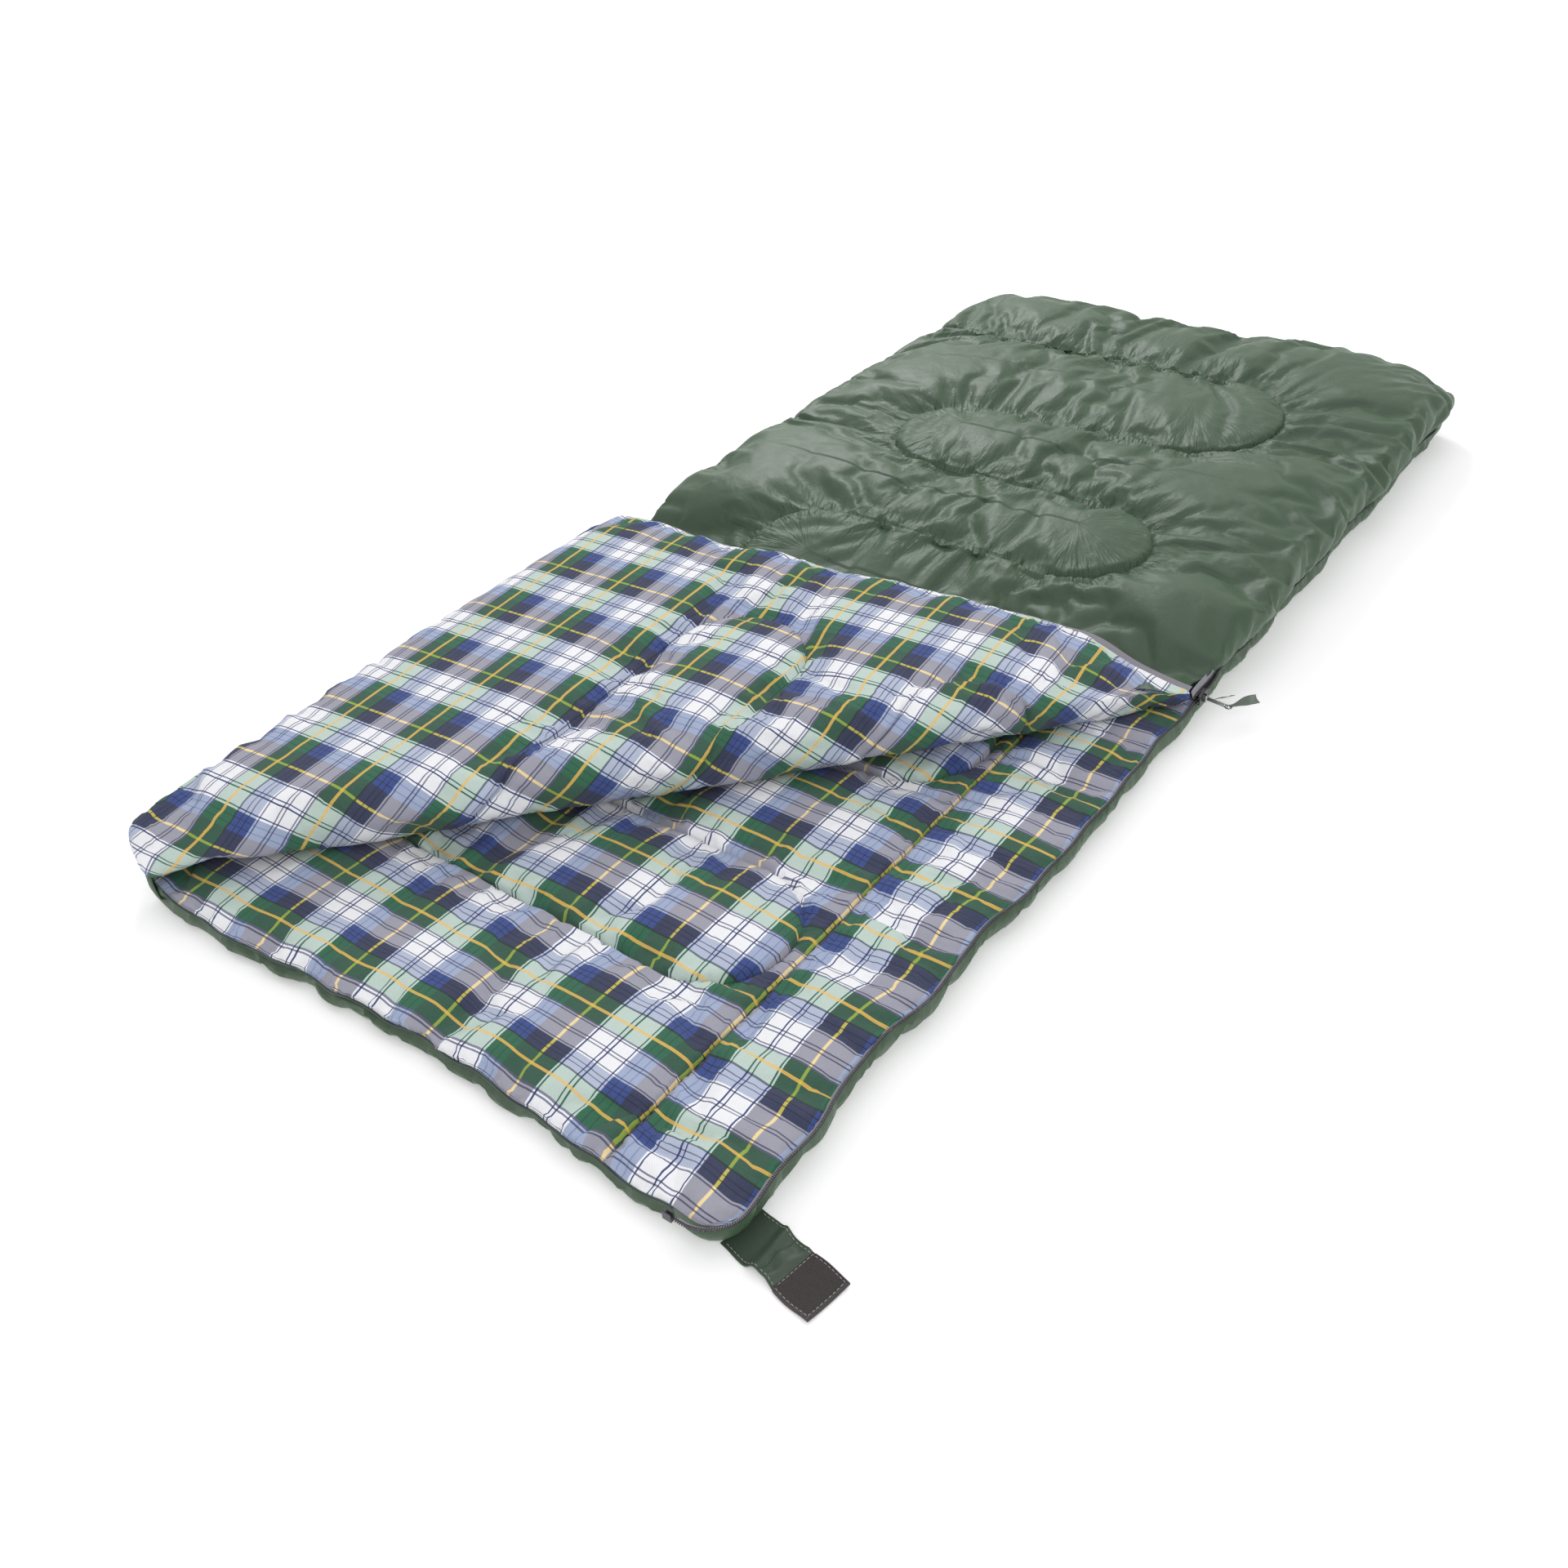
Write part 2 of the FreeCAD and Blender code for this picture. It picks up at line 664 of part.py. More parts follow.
def zip_slider():
    """Two plates joined by a wedge between the coils, edges turned in, and a bail for the pull."""
    front = D["tape_out"] - D["tape"] / 2 + D["slider_deep"] / 2
    back = front - D["slider_deep"]
    x0 = WIDTH + back
    y0 = D["slider_at"] - D["slider_long"] / 2
    z0 = ZIP_MIDDLE - D["slider_high"] / 2
    plate = D["slider_plate"]
    block = box("slider_block", x0, y0, z0, D["slider_deep"], D["slider_long"], D["slider_high"])
    rounded = doc.addObject("Part::Fillet", "slider_rounded")
    rounded.Base = block
    doc.recompute()
    across = [
        number
        for number, edge in enumerate(block.Shape.Edges, start=1)
        if near(edge.BoundBox.YLength + edge.BoundBox.ZLength, 0)
    ]
    corner = D["slider_high"].value / 4
    rounded.Edges = [(i, corner, corner) for i in across]
    doc.recompute()
    inner = D["slider_deep"] - plate * 2
    channel = box(
        "slider_channel",
        x0 + plate,
        y0 - 1,
        z0 + plate,
        inner,
        D["slider_long"] + 2,
        D["slider_high"] - plate * 2,
    )
    slit = D["tape"] * 2
    middle = WIDTH + D["tape_out"] - D["tape"] / 2
    slot_long, slot_high = D["slider_long"] + 2, D["slider_high"] + 2
    slot = box("slider_slot", middle - slit / 2, y0 - 1, z0 - 1, slit, slot_long, slot_high)
    hollow = cut("slider_hollow", rounded, fused("slider_space", [channel, slot]))
    post = box(
        "slider_wedge",
        x0 + plate / 2,
        y0 + D["slider_long"] / 8,
        ZIP_MIDDLE - D["slider_post"] / 2,
        D["slider_deep"] - plate,
        D["slider_long"] / 5,
        D["slider_post"],
    )
    wire = D["bail_wire"]
    leg_high = wire * 1.4
    bail_half = D["slider_high"] / 2 - plate
    pivot_x = WIDTH + front + D["bail_out"]
    bar = cylinder("bail_bar", pivot_x, D["slider_at"], ZIP_MIDDLE - bail_half, wire, bail_half * 2)
    legs = [
        box(
            name,
            WIDTH + front - plate / 2,
            D["slider_at"] - wire,
            low,
            D["bail_out"] + plate / 2,
            wire * 2,
            leg_high,
        )
        for name, low in (
            ("bail_leg_low", ZIP_MIDDLE - bail_half),
            ("bail_leg_high", ZIP_MIDDLE + bail_half - leg_high),
        )
    ]
    keep(fused("zip_slider", [hollow, post, bar] + legs), BAG)
    return BAG.multVec(FreeCAD.Vector(pivot_x.value, D["slider_at"].value, ZIP_MIDDLE.value))


def pull_parts(pivot):
    """The tab on the bail, the ring in the tab's hole and the ribbon on the ring."""
    frame = FreeCAD.Placement(pivot, FreeCAD.Rotation(UP, -D["pull_angle"].value))
    eye_in = D["bail_wire"] + D["slack"] / 2
    eye_out = eye_in + 1
    bail_half = D["slider_high"] / 2 - D["slider_plate"]
    eye_half = bail_half - D["bail_wire"] * 1.4 - D["slack"]
    eye = cylinder("pull_eye", 0, 0, as_size(0) - eye_half, eye_out, eye_half * 2)
    bore = cylinder("pull_bore", 0, 0, as_size(0) - eye_half - 1, eye_in, eye_half * 2 + 2)
    blade = box(
        "pull_blade",
        eye_in + 0.5,
        as_size(0) - D["pull_thick"] / 2,
        as_size(0) - D["pull_wide"] / 2,
        D["pull_long"] - eye_in - 0.5,
        D["pull_thick"],
        D["pull_wide"],
    )
    hole_x = D["pull_long"] - D["pull_hole_in"]
    hole = cylinder("pull_hole_tool", hole_x, D["pull_thick"], 0, D["pull_hole"], D["pull_thick"] * 2)
    turned(hole, FreeCAD.Vector(1, 0, 0), QUARTER_TURN)
    solid = fused("pull_solid", [eye, blade])
    keep(cut("pull_tab", solid, fused("pull_voids", [bore, hole])), frame)

    ring = doc.addObject("Part::Torus", "pull_ring")
    ring.setExpression("Radius1", D["ring_radius"].text)
    ring.setExpression("Radius2", D["ring_wire"].text)
    centre = frame.multVec(FreeCAD.Vector((hole_x + D["ring_radius"]).value, 0, 0))
    keep(ring, FreeCAD.Placement(centre, frame.Rotation))

    turn = D["ribbon_turn"].value - D["pull_angle"].value
    outward = FreeCAD.Rotation(UP, turn)
    droop = FreeCAD.Rotation(FreeCAD.Vector(0, 1, 0), D["ribbon_droop"].value)
    on_wire = centre + outward.multVec(FreeCAD.Vector(D["ring_radius"].value, 0, 0))
    loop_in = D["ring_wire"] + D["slack"] * 2
    loop_out = loop_in + D["ribbon_thick"]
    half = D["ribbon_thick"] * 1.5
    knot = cylinder("ribbon_knot", 0, half, 0, loop_out, half * 2)
    eyelet = cylinder("ribbon_eyelet", 0, half + 1, 0, loop_in, half * 2 + 2)
    for solid in (knot, eyelet):
        turned(solid, FreeCAD.Vector(1, 0, 0), QUARTER_TURN)
    flare = new_body("ribbon_flare")
    wide = D["ribbon_wide"]
    corners = [
        (0, wide / 2 - half),
        (D["ribbon_long"] / 3, 0),
        (D["ribbon_long"], 0),
        (D["ribbon_long"], wide),
        (D["ribbon_long"] / 3, wide),
        (0, wide / 2 + half),
    ]
    pad(flare, outline(flare, "ribbon_outline", corners, 0), D["ribbon_thick"])
    flare.Placement.Base = FreeCAD.Vector(
        (loop_in + D["slack"]).value, -(wide / 2).value, -(D["ribbon_thick"] / 2).value
    )
    loop = fused("ribbon_solid", [knot, flare])
    ribbon = cut("pull_ribbon", loop, eyelet)
    keep(ribbon, FreeCAD.Placement(on_wire, outward.multiply(droop)))


# ---------------------------------------------------------------- keeper strap


def keeper_strap():
    """The strap at the zip corner: its sewn end, the two lengths beside its crease, the patches."""
    bend = BAG.multVec(FreeCAD.Vector((WIDTH + D["strap_out"]).value, D["strap_along"].value, 0))
    frame = FreeCAD.Placement(bend, FreeCAD.Rotation(UP, -D["strap_angle"].value))
    crease = D["strap_crease"]
    tip_start = D["strap_root_long"] + crease
    lengths = [
        ("strap_sewn_end", as_size(0) - D["strap_sewn"], D["strap_sewn"] - crease / 2),
        ("strap_root", crease / 2, D["strap_root_long"] - crease / 2),
        ("strap_tip", tip_start, D["strap_tip_long"]),
    ]
    low_side = as_size(0) - D["strap_wide"] / 2
    for label, start, long in lengths:
        strip = box(label, start, low_side, 0, long, D["strap_wide"], D["strap_thick"])
        offset = FreeCAD.Vector(start.value, low_side.value, 0)
        unbind(strip)
        keep(strip, frame.multiply(FreeCAD.Placement(offset, FreeCAD.Rotation())))

    inset = D["patch_inset"]
    patch_wide = D["strap_wide"] - inset * 2
    hook_start = tip_start + D["strap_tip_long"] - D["patch_long"] - inset / 2
    hook_low = low_side + inset
    hook_level = D["strap_thick"] + D["slack"] / 4
    patch_long, patch_thick = D["patch_long"], D["patch_thick"]
    hook = box("hook_patch", hook_start, hook_low, hook_level, patch_long, patch_wide, patch_thick)
    offset = FreeCAD.Vector(hook_start.value, hook_low.value, hook_level.value)
    unbind(hook)
    keep(hook, frame.multiply(FreeCAD.Placement(offset, FreeCAD.Rotation())))

    loop_x = WIDTH - D["corner"] - D["patch_long"]
    loop_y = D["strap_along"] - patch_wide / 2 + inset * 3
    loop_z = TOP_OVER + D["slack"] / 4
    loop = box("loop_patch", loop_x, loop_y, loop_z, D["patch_long"], patch_wide, D["patch_thick"])
    offset = FreeCAD.Vector(loop_x.value, loop_y.value, loop_z.value)
    unbind(loop)
    keep(loop, FLAP.multiply(FreeCAD.Placement(offset, FreeCAD.Rotation())))


def unbind(solid):
    """Frees a primitive's position from the sheet, so that it can be set in a turned frame."""
    for axis in "xyz":
        solid.setExpression(f"Placement.Base.{axis}", None)


# ---------------------------------------------------------------- the whole bag

bottom_layer()
top_layer()
fold_roll()
wrap = box(
    "side_fold_shell",
    as_size(0) - CLOTH - D["slack"],
    D["corner"] * 1.5,
    D["loft"] / 2,
    CLOTH,
    LENGTH - D["corner"] * 3,
    D["loft"] + D["layer_gap"],
)
place_box(wrap)
all_quilting()
whole_side = (D["corner"], LENGTH - D["corner"], True, True)
zip_half("bottom", -1, *whole_side, BAG)
zip_half("top", 1, D["top_zip_start"], LENGTH - D["corner"], False, True, BAG)
zip_half("flap", 1, D["corner"], D["flap_zip_end"], True, False, FLAP)
zip_ends()
pull_parts(zip_slider())
keeper_strap()
doc.recompute()

broken = [obj.Name for obj in doc.Objects if "Invalid" in obj.State or "Error" in obj.State]
if broken:
    raise RuntimeError(f"these objects failed: {broken}")
os.makedirs("parts", exist_ok=True)
for part in subparts:
    if part.Shape.isNull() or not part.Shape.isValid():
        raise RuntimeError(f"{part.Label} has no valid shape")
    part.Shape.exportStep(f"parts/{part.Label}.step")
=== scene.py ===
import json
import math

import bpy
import numpy as np
from mathutils import Matrix, Vector, kdtree, noise
from mathutils.bvhtree import BVHTree
from mathutils.geometry import delaunay_2d_cdt


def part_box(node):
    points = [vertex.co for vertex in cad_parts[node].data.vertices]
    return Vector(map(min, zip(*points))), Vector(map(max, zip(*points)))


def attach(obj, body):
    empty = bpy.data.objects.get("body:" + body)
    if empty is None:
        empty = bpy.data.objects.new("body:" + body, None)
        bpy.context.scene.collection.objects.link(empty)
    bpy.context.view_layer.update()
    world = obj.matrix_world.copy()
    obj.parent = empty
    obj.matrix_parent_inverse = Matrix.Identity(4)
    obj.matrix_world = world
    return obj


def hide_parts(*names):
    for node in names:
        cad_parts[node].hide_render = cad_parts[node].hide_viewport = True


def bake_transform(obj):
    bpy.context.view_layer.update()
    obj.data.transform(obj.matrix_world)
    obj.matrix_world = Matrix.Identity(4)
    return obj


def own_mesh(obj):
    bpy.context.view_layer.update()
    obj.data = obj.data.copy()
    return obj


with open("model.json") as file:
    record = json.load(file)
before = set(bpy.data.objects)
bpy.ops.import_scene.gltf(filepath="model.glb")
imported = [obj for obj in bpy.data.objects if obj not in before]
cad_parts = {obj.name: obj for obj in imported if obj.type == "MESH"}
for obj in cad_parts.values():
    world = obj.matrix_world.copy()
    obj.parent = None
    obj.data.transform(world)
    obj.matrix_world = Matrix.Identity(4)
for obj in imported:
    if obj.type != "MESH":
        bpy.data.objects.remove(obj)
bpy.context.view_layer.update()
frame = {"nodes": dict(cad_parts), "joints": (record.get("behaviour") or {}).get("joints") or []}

# ---- places in the CAD frame (metres)
LO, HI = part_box("bottom_shell")
X0, X1, Y0, Y1 = LO.x, HI.x, LO.y, HI.y
JOINTS = {j["name"]: j for j in frame["joints"]}
HINGE = np.array(JOINTS["flap_fold"]["pos_m"])
ALONG = np.array(JOINTS["flap_fold"]["axis"][:2])
OPEN = np.array([ALONG[1], -ALONG[0]])  # from the fold towards the open mouth
AXIS_Z = HINGE[2]
FOLD_LENGTH = (X1 - X0) / ALONG[0]

CAP_SPACING = 0.165  # quilting U-turns keep this far from the sides
BOTTOM_ROWS = [0.225, 0.405, 0.612, 0.820, 1.022, 1.225, 1.435, 1.712]
TOP_ROWS = [0.340, 0.514, 0.667, 0.820, 1.022, 1.225, 1.435, 1.712]
SEAM_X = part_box("bottom_lining_strip")[0].x
PLAID_X, PLAID_Y = 0.1235, 0.1006  # plaid repeat across and along the bag
# mesh spacing
TOP_GRID, LINING_GRID, BOTTOM_GRID, UNDER_GRID, INNER_GRID = 0.0066, 0.0064, 0.0068, 0.0082, 0.016
SINK_REACH, SINK_LEVEL = 0.15, 0.046  # how the fold's zipped end comes down to the zip
# share of their height
SINK_TOP, SINK_FLAP, SINK_LINING, SINK_ZIP, SINK_FLAP_ZIP = 0.82, 0.78, 0.68, 0.80, 0.72
DROOP = 0.42  # slope of the flap where it hangs out over the closed side


def smooth(t):
    t = np.clip(t, 0.0, 1.0)
    return t * t * (3 - 2 * t)


def length(v):
    """Length of each row."""
    return np.linalg.norm(v, axis=1)


def unit(v):
    """Directions of length one, one a row."""
    return v / np.maximum(length(v), 1e-9)[:, None]


def travel(path):
    """Distance gone along a path at each of its points."""
    return np.concatenate([[0], np.cumsum(length(np.diff(path, axis=0)))])


def capped(z, start, room):
    """Heights that level off above start and never pass start plus room."""
    return np.where(z > start, start + room * (1 - np.exp(-(z - start) / room)), z)


def tree_of(points):
    """A search tree of plan points."""
    tree = kdtree.KDTree(len(points))
    for i, q in enumerate(points):
        tree.insert((q[0], q[1], 0), i)
    tree.balance()
    return tree


def ring_faces(count, sides):
    """Faces of a tube of rings, closed by a face at each end."""
    faces = [(i * sides + k, i * sides + (k + 1) % sides, (i + 1) * sides + (k + 1) % sides,
              (i + 1) * sides + k)
             for i in range(count - 1) for k in range(sides)]
    return faces + [tuple(reversed(range(sides))), tuple((count - 1) * sides + k for k in range(sides))]


def sheet_faces(n, m):
    """Faces of a thin closed sheet: n by m points, then as many for its other side."""
    count = n * m
    faces = []
    for i in range(n - 1):
        for j in range(m - 1):
            c = i * m + j
            faces += [(c, c + m, c + m + 1, c + 1),
                      (count + c, count + c + 1, count + c + m + 1, count + c + m)]
    ring = [i * m for i in range(n)] + [(n - 1) * m + j for j in range(1, m)]
    ring += [i * m + m - 1 for i in range(n - 2, -1, -1)] + list(range(m - 2, 0, -1))
    return faces + [(q, count + q, count + p, p) for p, q in zip(ring, ring[1:] + ring[:1])]


def fold_coords(p):
    """(distance along the fold, distance past it towards the mouth) of plan points."""
    d = p - HINGE[:2]
    return d @ ALONG, d @ OPEN


def mirrored(p):
    """Plan points mirrored across the fold line."""
    s, m = fold_coords(p)
    return HINGE[:2] + np.outer(s, ALONG) - np.outer(m, OPEN)


def turned_over(co):
    """Points of the closed top layer as they lie with the flap folded back."""
    return np.column_stack([mirrored(co[:, :2]), 2 * AXIS_Z - co[:, 2]])


def bell(x, middle, width):
    return np.exp(-(((x - middle) / width) ** 2))


def wave(y):
    """How far the quilting pulls the zipped edge in."""
    pull = 0.0165 * bell(y, -0.712, 0.085) + 0.012 * bell(y, -0.520, 0.060) + 0.004 * bell(y, -0.87, 0.05)
    for row, depth in ((0.820, 0.004), (1.022, 0.006), (1.225, 0.006), (1.435, 0.007), (1.712, 0.006)):
        pull = pull + depth * bell(y, Y0 + row, 0.055)
    return -pull + 0.0012 * np.sin(2 * math.pi * y / 0.093)


def head_wave(x):
    """How far the head hem of the bottom layer is drawn in."""
    return 0.019 * bell(x, 0.045, 0.21) + 0.004 * bell(x, -0.16,
                                                       0.05) + 0.0016 * np.sin(2 * math.pi * x / 0.083)


def rippled(co, head=False):
    """The same drawn-in edges carried by everything near them."""
    out = co.copy()
    out[:, 0] += wave(co[:, 1]) * smooth((co[:, 0] - 0.26) / 0.15)
    if head:
        out[:, 1] += head_wave(co[:, 0]) * smooth((-0.80 - co[:, 1]) / 0.14)
    return out


def ruffle(p, size, height, seed):
    """Seeded unevenness of the cloth before it is filled."""
    return np.array([noise.noise(Vector((q[0] / size, q[1] / size, seed))) for q in p]) * height


FOLD_END = HINGE[:2] + ALONG * FOLD_LENGTH


def settled(co, sink, hangs=False):
    """Cloth by the zipped end of the fold sinks to the slider, and the flap droops past the closed side."""
    out = co.copy()
    near = 1 - smooth(length(co[:, :2] - FOLD_END) / SINK_REACH)
    out[:, 2] -= sink * near * np.maximum(co[:, 2] - SINK_LEVEL, 0)
    if hangs:
        over = np.maximum(X0 + 0.025 - co[:, 0], 0)
        out[:, 2] -= DROOP * over * smooth(over / 0.06)
    return out


# ---- quilting paths
def serpentine(rows):
    """Stitch path through the rows with U-turns at alternate sides, running off both ends."""
    pts = []
    width, past_edge = X1 - X0, 0.02
    for i, b in enumerate(rows):
        after = rows[i + 1] - b if i + 1 < len(rows) else 0
        before = b - rows[i - 1] if i else 0
        to_right = i % 2 == 0
        right_gap, left_gap = (after, before) if to_right else (before, after)
        xr = width - CAP_SPACING - right_gap / 2 if right_gap else width + past_edge
        xl = CAP_SPACING + left_gap / 2 if left_gap else -past_edge
        a, e = (xl, xr) if to_right else (xr, xl)
        n = max(2, int(abs(e - a) / 0.002))
        pts += [(a + (e - a) * k / n, b) for k in range(n)]
        if after:
            r = after / 2
            n = int(math.pi * r / 0.002)
            side = 1 if to_right else -1
            turn = [-math.pi / 2 + math.pi * k / n for k in range(n)]
            pts += [(e + side * r * math.cos(a), b + r + r * math.sin(a)) for a in turn]
    return np.array(pts) + np.array([X0, Y0])


TOP_QUILT, BOTTOM_QUILT = serpentine(TOP_ROWS), serpentine(BOTTOM_ROWS)


def resample(p, h, closed=False):
    if closed:
        p = np.vstack([p, p[:1]])
    s = travel(p)
    n = max(2, int(round(s[-1] / h)))
    t = np.linspace(0, s[-1], n + 1)
    q = np.stack([np.interp(t, s, p[:, i]) for i in range(p.shape[1])], 1)
    return q[:-1] if closed else q


def rounded(corners, radii):
    """A closed outline through the corners, each rounded."""
    pts = []
    n = len(corners)
    c = [np.array(v, float) for v in corners]
    for i in range(n):
        a, b, d = c[i - 1], c[i], c[(i + 1) % n]
        r = radii[i]
        if r <= 0:
            pts.append(b)
            continue
        u, v = (a - b) / np.linalg.norm(a - b), (d - b) / np.linalg.norm(d - b)
        half = math.acos(np.clip(u @ v, -1, 1)) / 2
        reach = r / math.tan(half)
        centre = b + (u + v) / np.linalg.norm(u + v) * (r / math.sin(half))
        t0, t1 = b + u * reach - centre, b + v * reach - centre
        a0 = math.atan2(t0[1], t0[0])
        turn = (math.atan2(t1[1], t1[0]) - a0 + math.pi) % (2 * math.pi) - math.pi
        pts += [centre + r * np.array([math.cos(a0 + turn * k / 12), math.sin(a0 + turn * k / 12)])
                for k in range(13)]
    return np.array(pts)


def box_outline(x0, y0, x1, y1, radius):
    return rounded([(x0, y0), (x1, y0), (x1, y1), (x0, y1)], [radius] * 4)


def inside(p, loop):
    """Even-odd test of points against a closed loop."""
    x, y = p[:, 0], p[:, 1]
    result = np.zeros(len(p), bool)
    j = len(loop) - 1
    for i in range(len(loop)):
        xi, yi, xj, yj = *loop[i], *loop[j]
        if yi != yj:
            result ^= ((yi > y) != (yj > y)) & (x < (xj - xi) * (y - yi) / (yj - yi) + xi)
        j = i
    return result


def nearest(points, line):
    """Distance of each plan point from a polyline's vertices."""
    tree = tree_of(line)
    return np.array([tree.find((q[0], q[1], 0))[2] for q in points])


def region(outline, lines, h):
    """Triangles filling an outline, with vertices along each line.
    Returns points, triangles, kind (0 inside, 1 outline, 2.. line) and the lines' vertex order."""
    loop = resample(outline, h, closed=True)
    kept = []
    for line in lines:
        q = resample(line, h)
        away = nearest(q, loop) > 0.55 * h
        kept.append(q[inside(q, loop) & away])
    lo, hi = loop.min(0), loop.max(0)
    ys = np.arange(lo[1] + h / 2, hi[1], h * 0.866)
    rows = [np.arange(lo[0] + (h / 2 if k % 2 else 0), hi[0], h) for k in range(len(ys))]
    grid = np.vstack([np.column_stack([xs, np.full(len(xs), y)]) for xs, y in zip(rows, ys)])
    fixed = np.vstack([loop] + kept)
    grid = grid[inside(grid, loop)]
    grid = grid[nearest(grid, fixed) > 0.62 * h]
    n = len(loop)
    edges = [(i, (i + 1) % n) for i in range(n)]
    starts = []
    for q in kept:
        starts.append(n)
        edges += [(n + int(i), n + int(i) + 1) for i in np.nonzero(length(np.diff(q, axis=0)) < 1.6 * h)[0]]
        n += len(q)
    every = np.vstack([fixed, grid])
    verts, _, faces, origin, _, _ = delaunay_2d_cdt([Vector(v) for v in every], edges, [], 1, 1e-6)
    kind = np.zeros(len(verts), int)
    index = {}
    for i, o in enumerate(origin):
        for k in o:
            index[k] = i
            if k < len(loop):
                kind[i] = 1
            elif kind[i] == 0:
                for g, s in enumerate(starts):
                    if s <= k < s + len(kept[g]):
                        kind[i] = 2 + g
    orders = [[index[s + i] for i in range(len(q)) if s + i in index] for s, q in zip(starts, kept)]
    return np.array([tuple(v) for v in verts]), [tuple(f) for f in faces], kind, orders


def make(name, co, faces, material, uv=None, flip=False, smooth_shade=True):
    """A mesh object from arrays. uv holds one pair a vertex."""
    me = bpy.data.meshes.new(name)
    if flip:
        faces = [tuple(reversed(f)) for f in faces]
    me.from_pydata([tuple(c) for c in co], [], faces)
    me.update()
    if uv is not None:
        layer = me.uv_layers.new(name="cloth")
        corner = np.zeros(len(me.loops), int)
        me.loops.foreach_get("vertex_index", corner)
        layer.data.foreach_set("uv", np.asarray(uv, np.float32)[corner].ravel())
    if smooth_shade:
        me.polygons.foreach_set("use_smooth", [True] * len(me.polygons))
    ob = bpy.data.objects.new(name, me)
    bpy.context.scene.collection.objects.link(ob)
    me.materials.append(material)
    return ob


def subset(co, faces, uv, keep):
    """The part of a mesh whose faces are kept, with unused vertices dropped."""
    chosen = [f for f, k in zip(faces, keep) if k]
    used = sorted({v for f in chosen for v in f})
    new = {v: i for i, v in enumerate(used)}
    return co[used], [tuple(new[v] for v in f) for f in chosen], uv[used], used


def inflated(co, faces, pinned, limit, steps=16, pressure=4.0, slack=0.05, flip=False):
    """Cloth pinned along its seams and pushed out by its filling. No point moves more than its limit."""
    me = bpy.data.meshes.new("sheet")
    me.from_pydata([tuple(c) for c in co], [], [tuple(reversed(f)) for f in faces] if flip else faces)
    ob = bpy.data.objects.new("sheet", me)
    scene = bpy.context.scene
    scene.collection.objects.link(ob)
    ob.vertex_groups.new(name="seams").add([int(i) for i in np.nonzero(pinned)[0]], 1.0, "REPLACE")
    cloth = ob.modifiers.new("Cloth", "CLOTH")
    s = cloth.settings
    s.vertex_group_mass = "seams"
    s.quality = 5
    s.mass = 0.3
    s.tension_stiffness = s.compression_stiffness = 15
    s.shear_stiffness = 5
    s.bending_stiffness = 0.05
    s.air_damping = 1
    s.use_pressure = True
    s.uniform_pressure_force = pressure
    s.effector_weights.gravity = 0
    s.shrink_min = s.shrink_max = -slack
    cloth.collision_settings.use_collision = False
    cloth.collision_settings.use_self_collision = False
    cloth.point_cache.frame_start, cloth.point_cache.frame_end = 1, steps + 2
    for f in range(1, steps + 1):
        scene.frame_set(f)
    made = ob.evaluated_get(bpy.context.evaluated_depsgraph_get()).data
    out = np.zeros(len(made.vertices) * 3)
    made.vertices.foreach_get("co", out)
    out = out.reshape(-1, 3)
    bpy.data.objects.remove(ob)
    bpy.data.meshes.remove(me)
    scene.frame_set(1)
    move = out - co
    size = length(move)
    share = np.where(size > 1e-9, limit * np.tanh(size / limit) / np.maximum(size, 1e-9), 0)
    return co + move * share[:, None]


def lid(half_x, half_y, radius, width, lines, h):
    """The flat sheet of one side of the bag, as region() makes it, and how it turns over its edge: the plan
    points where the turn starts, how far (0..1) each point lies round the turn, and the way out."""
    flat, faces, kind, orders = region(box_outline(-half_x, -half_y, half_x, half_y, radius), lines, h)
    cx, cy = half_x - radius, half_y - radius
    q = np.stack([np.maximum(np.abs(flat[:, 0]) - cx, 0), np.maximum(np.abs(flat[:, 1]) - cy, 0)], 1)
    size = length(q)
    past = np.maximum(size - (radius - width), 0)
    n = q / np.maximum(size, 1e-9)[:, None] * np.sign(flat)
    return flat, faces, kind, orders, flat - n * past[:, None], np.clip(past / width, 0, 1), n


def edged(inner, t, n, from_z, rim_z, degrees, reach=None):
    """Cloth that turns through an angle at its edge, from from_z to rim_z. Without a reach it turns round."""
    turn = math.radians(degrees)
    if reach is None:
        reach = np.abs(from_z - rim_z) / (1 - math.cos(turn))
    plan = inner + n * (reach * np.sin(t * turn))[:, None]
    return np.column_stack([plan,
                            from_z + (rim_z - from_z) * (1 - np.cos(t * turn)) / (1 - math.cos(turn))])


# ---- materials
def srgb(r, g, b):
    return tuple(((c / 255) / 12.92 if c <= 10.3 else ((c / 255 + 0.055) / 1.055) ** 2.4)
                 for c in (r, g, b)) + (1,)


